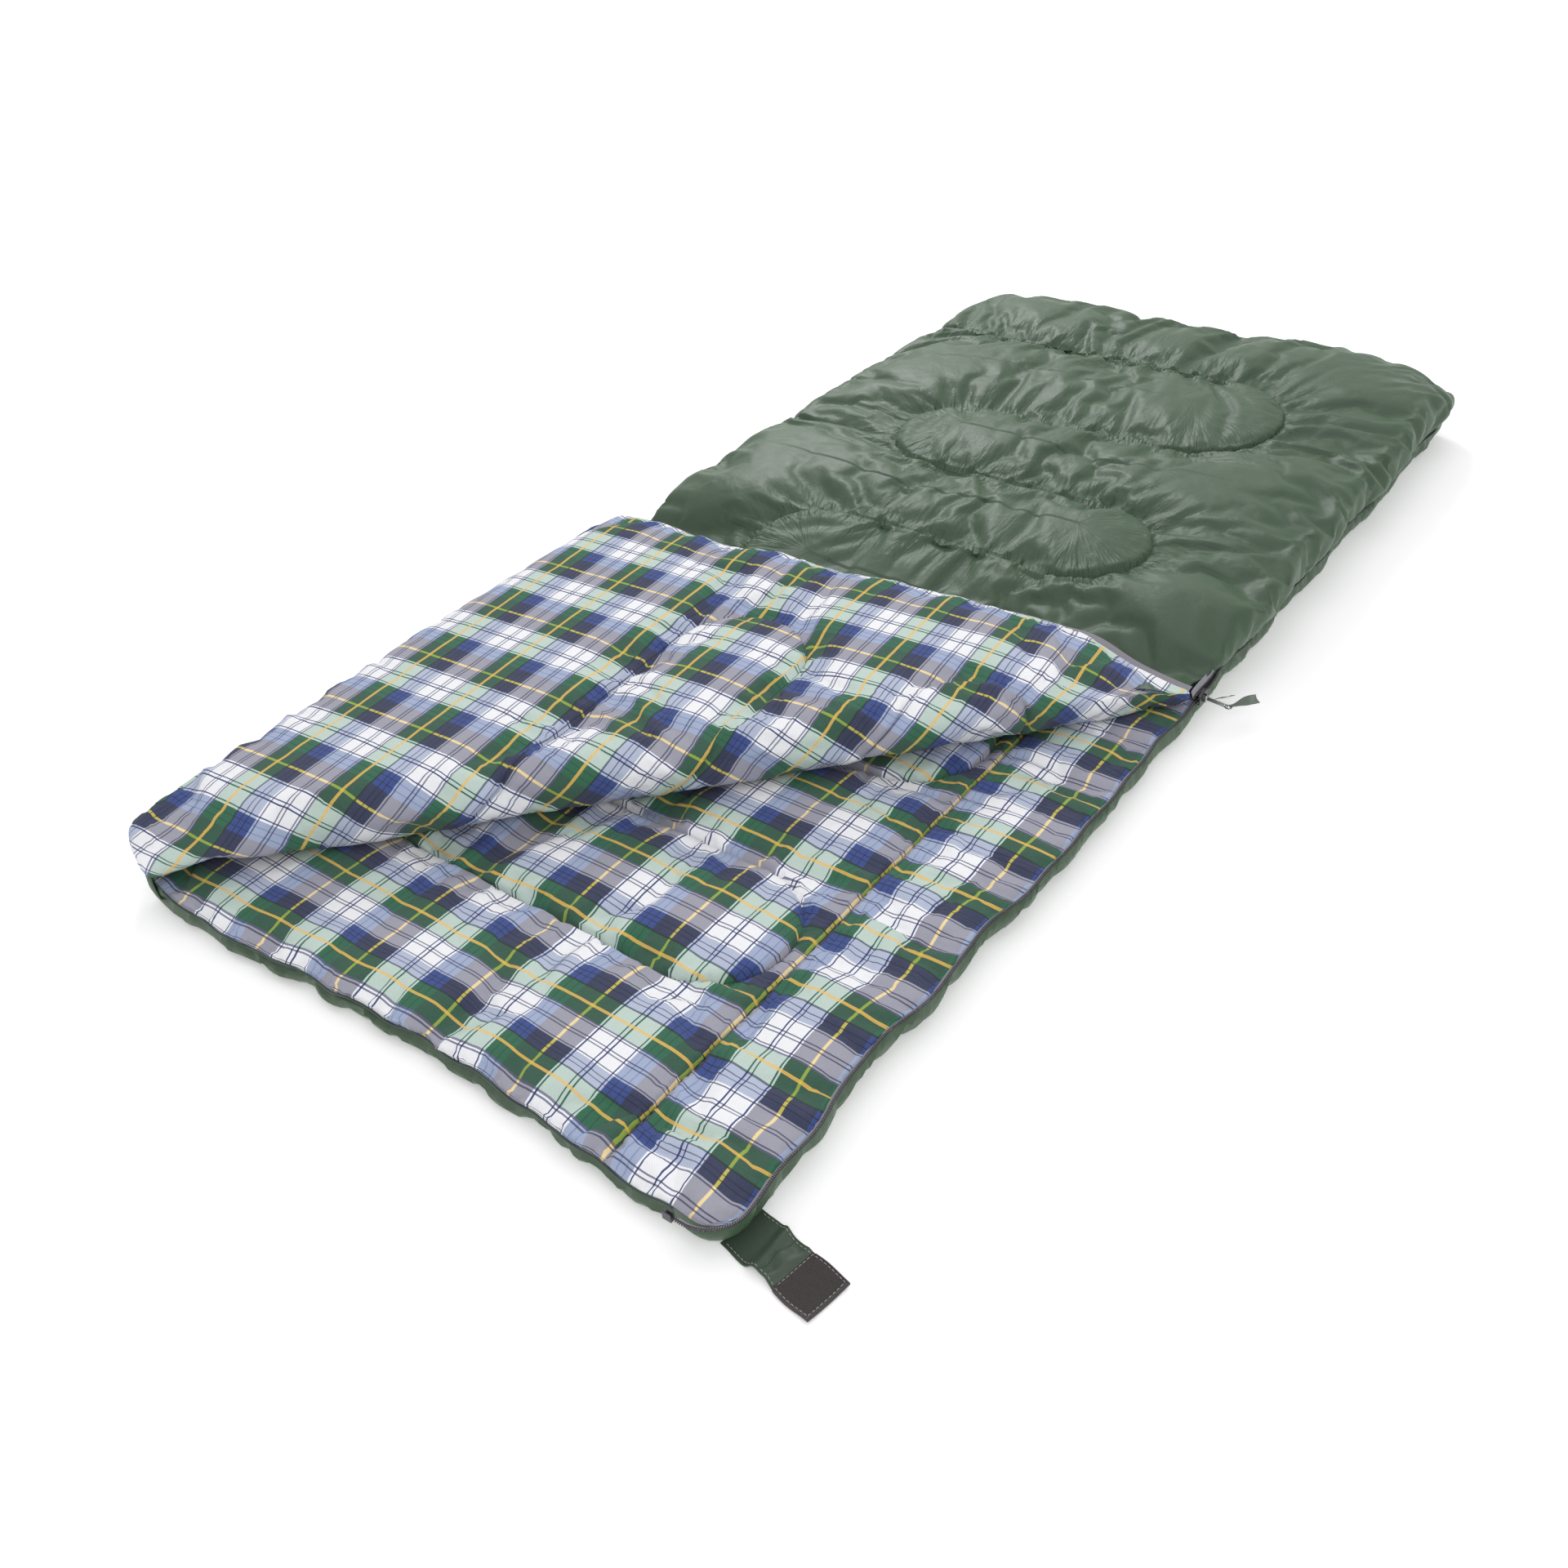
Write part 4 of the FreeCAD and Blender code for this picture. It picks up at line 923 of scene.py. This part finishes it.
flat, faces, orders, shell = top_shell()
centre_m = face_mean(fold_coords(flat)[1], faces)
normals = sheet_normals(shell, faces)
cut_piece("top_shell_cloth", (shell, faces), flat, centre_m < 0, SATIN, "bag", "shell_cloth",
          ("top_shell", "top_fill"),
          place=lambda co: settled(co, SINK_TOP), normals=normals, quilt=TOP_QUILT)
along = normals[:, :2] @ ALONG
turned_normals = np.column_stack([2 * np.outer(along, ALONG) - normals[:, :2], -normals[:, 2]])
flap = cut_piece(
    "flap_shell_cloth", (shell, faces), flat, centre_m > 0, SATIN, "flap_corner", "shell_cloth",
    ("flap_shell", "flap_fill"),
    place=lambda co: settled(turned_over(co), SINK_FLAP, True), normals=turned_normals, quilt=TOP_QUILT)

quilt_path = settled(shell[orders[0]], SINK_TOP)
_, qm = fold_coords(quilt_path[:, :2])
sew("top_quilting_thread", quilt_path[qm < -0.004], "bag", THREAD_GREEN, "top_quilting")

flat, faces, orders, lining = flap_lining()
normals = sheet_normals(lining, faces, flip=True)
past_fold, over_fold = face_mean(fold_coords(flat)[1],
                                 faces), face_mean(fold_coords(lining[:, :2])[1], faces)
on_flap = (past_fold > 0) & (over_fold < 0)
plaid = plaid_uv(flat, *TOP_PLAID)
cut_piece("flap_lining_cloth", (lining, faces), plaid, on_flap, PLAID, "flap_corner", "plaid_lining",
          ("flap_lining",),
          normals=normals, flip=True)
fold_cloth = cut_piece("fold_lining_cloth", (lining, faces), plaid, ~on_flap, PLAID, "bag", "plaid_lining",
                       ("fold_lining", "fold_fill", "fold_shell"), normals=normals, flip=True)
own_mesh(fold_cloth)
_, qm = fold_coords(flat[orders[0]])
sew("flap_quilting_thread", lining[orders[0]][qm > 0.03], "flap", THREAD_DARK, "flap_quilting")

flat, faces, orders, lining = bottom_lining()
centre_x = face_mean(flat[:, 0], faces)
for name, origin, keep, node in (("bottom_lining_cloth", MAIN_PLAID, centre_x < SEAM_X, "bottom_lining"),
                                 ("lining_strip_cloth", STRIP_PLAID, centre_x > SEAM_X,
                                  "bottom_lining_strip")):
    cut_piece(name, (lining, faces), plaid_uv(flat, *origin), keep, PLAID, "bag", "plaid_lining", (node,))
sew("bottom_quilting_thread", lining[orders[0]], "bag", THREAD_DARK, "bottom_quilting")
sew("strip_seam_thread", lining[orders[1]], "bag", THREAD_DARK, "lining_seam_thread", radius=0.0003)

flat, faces, under = bottom_shell()
below = make("bottom_shell_cloth", under, faces, SATIN, flat, flip=True)
add_gather(below, flat, BOTTOM_QUILT)
finish(below, "bag", "shell_cloth", "bottom_shell", "bottom_fill")

# ---- hidden lining under the closed top layer
corners = [(X0 + 0.012, HINGE[1] + 0.03), (X1 - 0.012, FOLD_END[1] + 0.03), (X1 - 0.012, Y1 - 0.012),
           (X0 + 0.012, Y1 - 0.012)]
outline = rounded(corners, [0.01, 0.01, 0.04, 0.04])
flat, faces, kind, orders = region(outline, [TOP_QUILT], INNER_GRID)
away = nearest(flat, TOP_QUILT)
z = np.where(kind == 1, 0.0445, 0.0435 + 0.008 * np.exp(-away / 0.018))
inner = make("top_lining_cloth", np.column_stack([flat, z]), faces, PLAID, plaid_uv(flat, *TOP_PLAID),
             flip=True)
finish(inner, "bag", "plaid_lining", "top_lining")

# ---- zip: rim paths, tapes and coils
def rim_loop(z_of, x_from, y_from=None, grow=0.0):
    """The zipped rim, from the head edge round the zipped side to the foot edge's far end."""
    loop = box_outline(X0 - grow, Y0 - grow, X1 + grow, Y1 + grow, CORNER + grow)
    loop = resample(loop, 0.003, closed=True)
    start = np.argmin(length(loop - np.array([0.0, Y0 - grow])))
    loop = np.roll(loop, -start, axis=0)
    if loop[5, 0] < loop[0, 0]:
        loop = loop[::-1]
    end = np.argmin(length(loop - np.array([X0 + 0.024, Y1 + grow])))
    loop = loop[: end + 1]
    if y_from is None:
        loop = loop[(loop[:, 1] > Y0 + 0.06) | (loop[:, 0] > x_from)]
    else:
        loop = loop[(loop[:, 1] > y_from)]
    return rippled(np.column_stack([loop, z_of(loop)]))


UP = np.array([0, 0, 1.0])


def sideways(path):
    """Level directions pointing out of the bag along a rim path."""
    t = np.gradient(path, axis=0)
    t[:, 2] = 0
    return np.cross(unit(t), UP)


def zip_half(prefix, path, body, nodes, lean, width, coil_drop=0.0):
    """Tape from the cloth's rim outwards, leaning up (or down), and the coil along its outer edge."""
    side = unit(sideways(path) + UP * lean)
    face = unit(np.cross(np.gradient(path, axis=0), side))
    co, fs, uv = band(path - side * 0.004, side, face, width + 0.004, 0.0008)
    finish(make(prefix + "_tape_cloth", co, fs, TAPE, uv, smooth_shade=False), body, "zip_tape", nodes[0])
    co, fs = coil(path + side * width - UP * coil_drop)
    finish(make(prefix + "_coil_teeth", co, fs, COIL), body, "zip_coil", nodes[1])
    row = stitches(prefix + "_tape_thread", path + side * 0.002 + face * 0.0006, face[0], THREAD_LIGHT,
                   radius=0.0003)
    finish(row, body, "thread")


low = lambda p: 0.0352 + 0 * p[:, 0]
zip_half("bottom_zip", rim_loop(low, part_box("zip_retainer_box")[1].x, grow=0.0005), "bag",
         ("bottom_zip_tape", "bottom_zip_coil"), 1.0, 0.0050)
high = lambda p: np.where(p[:, 1] > Y1 - 0.02, RIM_TOP, flap_rim_z(p[:, 1])) - 0.0005
zip_half("top_zip", settled(rim_loop(high, 0, y_from=FOLD_Y + 0.001, grow=0.001), SINK_ZIP), "bag",
         ("top_zip_tape", "top_zip_coil"), -2.5, 0.0045)

loop = rim_loop(lambda p: np.where(p[:, 1] > Y0 + 0.05, flap_rim_z(p[:, 1]), FLAP_RIM), 0.34)
loop = loop[loop[:, 1] < -0.040]
flap_rim = settled(turned_over(loop), SINK_FLAP_ZIP, True)[::-1]
zip_half("flap_zip", flap_rim, "flap_corner", ("flap_zip_tape", "flap_zip_coil"), 0.12, 0.0080, 0.0016)
pin = (flap_rim + sideways(flap_rim) * 0.0080 - np.array([0, 0, 0.0010]))[-6:]
co, fs = tube(resample(pin, 0.0008), 0.0019, 10)
finish(make("zip_insert_pin_cap", co, fs, COIL), "flap_corner", "zip_coil", "zip_insert_pin")

# ---- hems at the head edge
xs = np.linspace(X0 + 0.045, X1 - 0.058, 420)
hem = np.column_stack([xs, np.full(420, Y0 + 0.0062), np.zeros(420)])
hem[:, 2] = head_rim(hem, 0.0225) - 0.0004 + 0.0010 * np.sin(xs * 61) + 0.0006 * np.sin(xs * 143 + 1)
co, fs = tube(rippled(hem, head=True), 0.0015, 6)
finish(make("head_hem_overlock", co, fs, THREAD_DARK), "bag", "thread")


# ---- the closed side and the near left corner
def side_fold():
    """The shell where the two layers are one cloth: up the closed side and round the head corner."""
    loop = rounded([(X1, Y0), (X0, Y0), (X0, Y1), (X1, Y1)], [0.05] * 4)
    loop = resample(loop, 0.006, closed=True)
    keep = ((loop[:, 0] < X0 + 0.055) & (loop[:, 1] < 0)) | ((loop[:, 0] < X0 + 0.03) & (loop[:, 1] >= 0))
    start = np.argmax(~keep)
    loop, keep = np.roll(loop, -start, axis=0), np.roll(keep, -start)
    path = loop[keep]
    if path[0, 1] > path[-1, 1]:
        path = path[::-1]
    t = np.gradient(path, axis=0)
    t /= length(t)[:, None]
    out = np.stack([-t[:, 1], t[:, 0]], 1)
    near = smooth((Y0 + 0.13 - path[:, 1]) / 0.11)
    low = 0.026 - 0.010 * near
    high = 0.056 + 0.030 * near * smooth((X0 + 0.056 - path[:, 0]) / 0.03)
    rows = 13
    co, uv = [], []
    s_at = travel(path)
    thin = smooth(s_at / 0.07)
    low = 0.021 + (low - 0.021) * thin
    high = low + 0.002 + (high - low - 0.002) * thin
    for k in range(rows):
        v = k / (rows - 1)
        wide = np.array([noise.noise(Vector((a / 0.016, v * 1.3, 3.3))) for a in s_at])
        fine = np.array([noise.noise(Vector((a / 0.007, v * 2.0, 6.3))) for a in s_at])
        profile = math.sin(math.pi * min(1, v * 0.94 + 0.06)) ** 0.7
        bulge = (0.0085 + 0.005 * near + 0.0028 * (wide + 0.6 * fine)) * profile - 0.004 * (1 - near)
        bulge = bulge * thin - 0.003 * (1 - thin)
        co.append(np.column_stack([path + out * bulge[:, None], low + (high - low) * v]))
        uv.append(np.column_stack([s_at, np.full(len(s_at), v * 0.04)]))
    co, uv = np.vstack(co), np.vstack(uv)
    m = len(path)
    fs = [(k * m + i, (k + 1) * m + i, (k + 1) * m + i + 1, k * m + i + 1) for k in range(rows - 1)
          for i in range(m - 1)]
    ob = make("side_fold_cloth", co, fs, SATIN_SIDE, uv)
    finish(ob, "bag", "shell_cloth", "side_fold_shell")


side_fold()

# ---- strap at the near corner
BEND = np.array(JOINTS["strap_lift"]["pos_m"])
CREASE = np.array(JOINTS["strap_crease"]["pos_m"])
strap_dir = (CREASE - BEND)[:2] / np.linalg.norm((CREASE - BEND)[:2])
strap_side = np.array([-strap_dir[1], strap_dir[0]])
STRAP_HALF = 0.025
STRAP_END = 0.0835


PATCH_FROM = 0.0405  # the hook patch starts here along the strap


def strap_height(u, v):
    """Height of the strap's cloth: a crumple half way, edges that lift a little, flat under the patch."""
    free = smooth(u / 0.010) * (1 - 0.75 * smooth((u - PATCH_FROM + 0.006) / 0.010))
    crumple = 0.0058 * bell(u, 0.024 + 0.004 * v, 0.0085) * (0.55 + 0.45 * np.sin(v * 5.0 + u * 40))
    ridge = 0.0030 * bell(u, 0.012 - 0.005 * v, 0.005) + 0.0024 * bell(u, 0.034 + 0.003 * v, 0.004)
    lift = 0.0030 * np.abs(v) ** 3 * (0.6 + 0.5 * np.sin(u * 95 + 2 * v))
    return 0.0012 + np.maximum((crumple + ridge + lift) * free,
                               0) + 0.0012 * smooth((u - 0.06) / 0.02) * np.abs(v) ** 2


def strap_point(u, v, above=0.0):
    edge = STRAP_HALF * (1 + 0.030 * np.sin(u * 120 + 1) * (np.abs(v) > 0.5) - 0.05 * bell(u, 0.026, 0.012))
    x = BEND[0] + u * strap_dir[0] + v * edge * strap_side[0]
    y = BEND[1] + u * strap_dir[1] + v * edge * strap_side[1]
    return np.stack([x, y, strap_height(u, v) + above], -1)


def slab(name, us, vs, low, high, material):
    """A thin closed piece of cloth lying on the strap, from low to high above its surface."""
    U, V = np.meshgrid(us, vs, indexing="ij")
    top, bottom = strap_point(U, V, high).reshape(-1, 3), strap_point(U, V, low).reshape(-1, 3)
    bottom[:, 2] = np.maximum(bottom[:, 2], 0.0001)
    uv = np.tile(np.stack([U, V * STRAP_HALF], -1).reshape(-1, 2), (2, 1))
    return make(name, np.vstack([top, bottom]), sheet_faces(len(us), len(vs)), material, uv)


def strap_line(u0, u1, v0, v1, above=0.0012):
    k = np.linspace(0, 1, max(10, int(400 * (abs(u1 - u0) + abs(v1 - v0) * STRAP_HALF) / 0.1)))
    return strap_point(u0 + (u1 - u0) * k, v0 + (v1 - v0) * k, above)


def strap_part(part, u0, u1, rows, thread_from, thread_to, bodies, turn, *nodes):
    """One length of the strap with its two rows of stitches, baked where it lies."""
    vs = np.linspace(-1, 1, 41)
    obs = [slab(f"strap_{part}_cloth", np.linspace(u0, u1, rows), vs, -0.0007, 0.0007, SATIN_STRAP)]
    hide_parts(*nodes)
    for k, v in (("a", 0.88), ("b", -0.88)):
        line = strap_line(thread_from, thread_to, v, v)
        obs.append(stitches(f"strap_{part}_thread_{k}", line, (0, 0, 1), THREAD_LIGHT, radius=0.00032))
    for ob, slot in zip(obs, ("strap_cloth", "thread", "thread")):
        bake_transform(ob)


SPLIT = 0.022  # the strap's cloth is in two pieces, one for each joint
strap_part("root", -0.024, SPLIT, 34, -0.020, SPLIT, ("bag", "strap"), (-0.004, 0.006), "strap_root",
           "strap_sewn_end")
strap_part("tip", SPLIT, STRAP_END, 44, SPLIT, PATCH_FROM, ("strap", "strap_end"), (0.030, 0.041),
           "strap_tip")

edge_a, edge_b = PATCH_FROM, STRAP_END - 0.0012
patch = slab("hook_patch_pad", np.linspace(edge_a, edge_b, 30), np.linspace(-0.955, 0.955, 33), 0.0006,
             0.0016, HOOKS)
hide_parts("hook_patch")
finish(patch, "strap_end", "hook_patch")
co, fs = [], []
for i, u in enumerate(np.arange(edge_a + 0.003, edge_b - 0.003, 0.00115)):
    for j, v in enumerate(np.arange(-0.84, 0.84, 0.046)):
        shift = 0.0004 * noise.noise(Vector((u * 900, v * 30, 2.0)))
        base = strap_point(np.array([u, u + 0.0005, u + 0.00025, u + 0.0009 + shift]),
                           np.array([v, v, v + 0.018, v + 0.006]), 0.0015)
        base[3, 2] += 0.0009
        k = len(co) * 4
        co.append(base)
        fs += [(k, k + 1, k + 3), (k + 1, k + 2, k + 3), (k + 2, k, k + 3)]
hooks = make("hook_patch_hooks", np.vstack(co), fs, HOOKS, smooth_shade=False)
finish(hooks, "strap_end", "hook_patch")


def strap_lines(corners, above):
    """Straight runs over the strap from corner to corner."""
    return np.vstack([strap_line(a[0], b[0], a[1], b[1], above) for a, b in zip(corners, corners[1:])])


near_end, far_end = edge_a + 0.0015, edge_b - 0.0015
border = strap_lines([(near_end, -0.90), (far_end, -0.90), (far_end, 0.90), (near_end, 0.90),
                      (near_end, -0.90)], 0.0019)
sew("hook_patch_thread", border, "strap_end", THREAD_LIGHT, radius=0.0003)
rim = strap_lines([(edge_a + 0.002, -1.0), (STRAP_END, -1.0), (STRAP_END, 1.0), (edge_a + 0.002, 1.0)],
                  0.0004)
co, fs = tube(rim, 0.0009, 6)
finish(make("hook_patch_edging", co, fs, PIPING), "strap_end", "strap_cloth")


# ---- pull ribbon
def pull_ribbon():
    """Ribbon folded through the ring: narrow there, opening to a leaf that curls as it hangs."""
    lo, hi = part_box("pull_ribbon")
    start = np.array(JOINTS["ribbon_swing"]["pos_m"])
    end = np.array([hi.x - 0.006, hi.y - 0.001, lo.z + 0.010])
    n, m = 30, 11
    t = np.linspace(0, 1, n)[:, None]
    line = start + (end - start) * t + np.array([0.003, 0, 0.0030]) * np.sin(math.pi * t)
    along = (end - start) / np.linalg.norm(end - start)
    side = np.cross(along, [0.35, -0.55, 0.75])
    side /= np.linalg.norm(side)
    face = np.cross(side, along)
    half = 0.0016 + 0.0042 * smooth((t - 0.02) / 0.45)
    rings = []
    for k in np.linspace(-1, 1, m):
        curl = 0.0016 * (k * k) * smooth(t / 0.4) - 0.0008 * np.sin(t * 9 + k)
        rings.append(line + side * half * k + face * curl)
    top = np.stack(rings, 1)
    co = np.concatenate([top + face * 0.0004, top[:, ::-1] - face * 0.0004], 1)
    k = 2 * m
    fs = [tuple(reversed(f)) for f in ring_faces(n, k)]
    uv = np.stack([np.repeat(t[:, 0] * 0.04, k), np.tile(np.linspace(0, 0.02, k), n)], 1)
    ob = make("pull_ribbon_cloth", co.reshape(-1, 3), fs, SATIN_PULL, uv)
    finish(ob, "ribbon", "pull_ribbon", "pull_ribbon")
    # the fold that passes round the ring
    ang = np.linspace(-0.3, 2 * math.pi * 0.86, 22)
    fold = np.array([start + along * (0.0022 * math.cos(a)) + face * (0.0016 * math.sin(a)) for a in ang])
    co, fs, uv = band(fold - side * 0.0016, np.tile(side, (22, 1)), np.tile(face, (22, 1)), 0.0032, 0.0006)
    finish(make("pull_ribbon_fold", co, fs, SATIN_PULL, uv), "ribbon", "pull_ribbon")


pull_ribbon()


# ---- loop patch on the flap's outer face
def loop_patch():
    """A pile patch laid on the flap's shell, following its folds, with a stitched border."""
    lo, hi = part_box("loop_patch")
    surface = BVHTree.FromObject(flap, bpy.context.evaluated_depsgraph_get())

    def on_shell(x, y, below):
        hit = surface.ray_cast(Vector((x, y, lo.z - 0.05)), Vector((0, 0, 1)))[0]
        return (x, y, (hit.z if hit else lo.z) - below)

    n, m = 34, 28
    xs, ys = np.linspace(lo.x + 0.001, hi.x - 0.001, n), np.linspace(lo.y + 0.001, hi.y - 0.001, m)
    inner = [on_shell(x, y, 0.0001) for x in xs for y in ys]
    outer = [on_shell(x, y, 0.0012 + 0.0004 * noise.noise(Vector((x * 900, y * 900, 0.0)))) for x in xs
             for y in ys]
    finish(make("loop_patch_pile", np.array(inner + outer), sheet_faces(n, m), LOOPS), "flap", "loop_patch",
           "loop_patch")
    k = 0.0025
    corners = np.array([(lo.x + k, lo.y + k), (hi.x - k, lo.y + k), (hi.x - k, hi.y - k),
                        (lo.x + k, hi.y - k), (lo.x + k, lo.y + k)])
    line = resample(corners, 0.0015)
    path = np.array([on_shell(x, y, 0.0016) for x, y in line])
    finish(stitches("loop_patch_thread", path, (0, 0, -1), THREAD_LIGHT, radius=0.0003), "flap", "thread")


loop_patch()


# ---- floor, light, camera
def floor():
    n = 24
    xs = np.linspace(-60, 60, n)
    co = np.array([(x, y, -0.0004) for x in xs for y in xs])
    fs = [(i * n + j, (i + 1) * n + j, (i + 1) * n + j + 1, i * n + j + 1) for i in range(n - 1)
          for j in range(n - 1)]
    sh = Shader("floor_paper")
    tone = sh.mix(sh.grey(sh.noise(3, 3), 0, 0.3), srgb(250, 250, 250), srgb(244, 244, 245))
    sh.put(sh.bsdf.inputs["Emission Color"], (1, 1, 1, 1))
    place = sh.node("NewGeometry").outputs["Position"]
    away = sh.node("VectorMath", {0: place}, operation="LENGTH").outputs["Value"]
    glow = sh.node("MapRange", {0: away, 1: 2.5, 2: 6.0, 3: 0.22, 4: 0.75}).outputs[0]
    sh.put(sh.bsdf.inputs["Emission Strength"], glow)
    ob = make("floor", co, fs, sh.set(color=tone, rough=0.9, spec=0.1))


floor()


def area(name, place, target, size, power):
    data = bpy.data.lights.new(name, "AREA")
    data.shape = "DISK"
    data.size = size
    data.energy = power
    ob = bpy.data.objects.new(name, data)
    bpy.context.scene.collection.objects.link(ob)
    ob.location = place
    ob.rotation_mode = "QUATERNION"
    ob.rotation_quaternion = (Vector(target) - Vector(place)).to_track_quat("-Z", "Y")


area("key", (-2.0, 2.6, 2.4), (0, 0, 0), 1.2, 46)
area("fill", (2.4, -2.0, 2.2), (0, -0.3, 0), 2.2, 22)
area("overhead", (0.2, 0.2, 3.4), (0, 0, 0), 2.6, 14)
world = bpy.data.worlds.new("studio")
bpy.context.scene.world = world
world.use_nodes = True
tree = world.node_tree
tree.nodes["Background"].inputs[0].default_value = (1, 1, 1, 1)
sky = tree.nodes.new("ShaderNodeMapRange")  # brighter where the camera sees it directly
sky.inputs[3].default_value, sky.inputs[4].default_value = 0.74, 1.1
tree.links.new(tree.nodes.new("ShaderNodeLightPath").outputs["Is Camera Ray"], sky.inputs[0])
tree.links.new(sky.outputs[0], tree.nodes["Background"].inputs[1])
bpy.context.scene.view_settings.view_transform = "Standard"

cam_data = bpy.data.cameras.new("camera")
cam = bpy.data.objects.new("camera", cam_data)
bpy.context.scene.collection.objects.link(cam)
bpy.context.scene.camera = cam
az, el, roll = math.radians(39.29), math.radians(37.46), math.radians(-4.34)
back = Vector((math.sin(az) * math.cos(el), -math.cos(az) * math.cos(el), math.sin(el)))
right = Vector((0, 0, 1)).cross(back).normalized()
up = back.cross(right)
right2 = math.cos(roll) * right + math.sin(roll) * up
up2 = -math.sin(roll) * right + math.cos(roll) * up
cam.matrix_world = Matrix((right2, up2, back)).transposed().to_4x4()
cam.location = (0.9452, -1.4653, 1.0669)
cam_data.lens = 33.54
cam_data.sensor_width = 36
cam_data.clip_start, cam_data.clip_end = 0.02, 60

# ---- finishes of the CAD parts that stay
for node, material in {
    "zip_slider": DARK_STEEL, "pull_tab": STEEL, "pull_ring": DARK_STEEL, "zip_retainer_box": COIL,
    "zip_end_stop": COIL,
}.items():
    ob = frame["nodes"][node]
    ob.data.materials.clear()
    ob.data.materials.append(material)
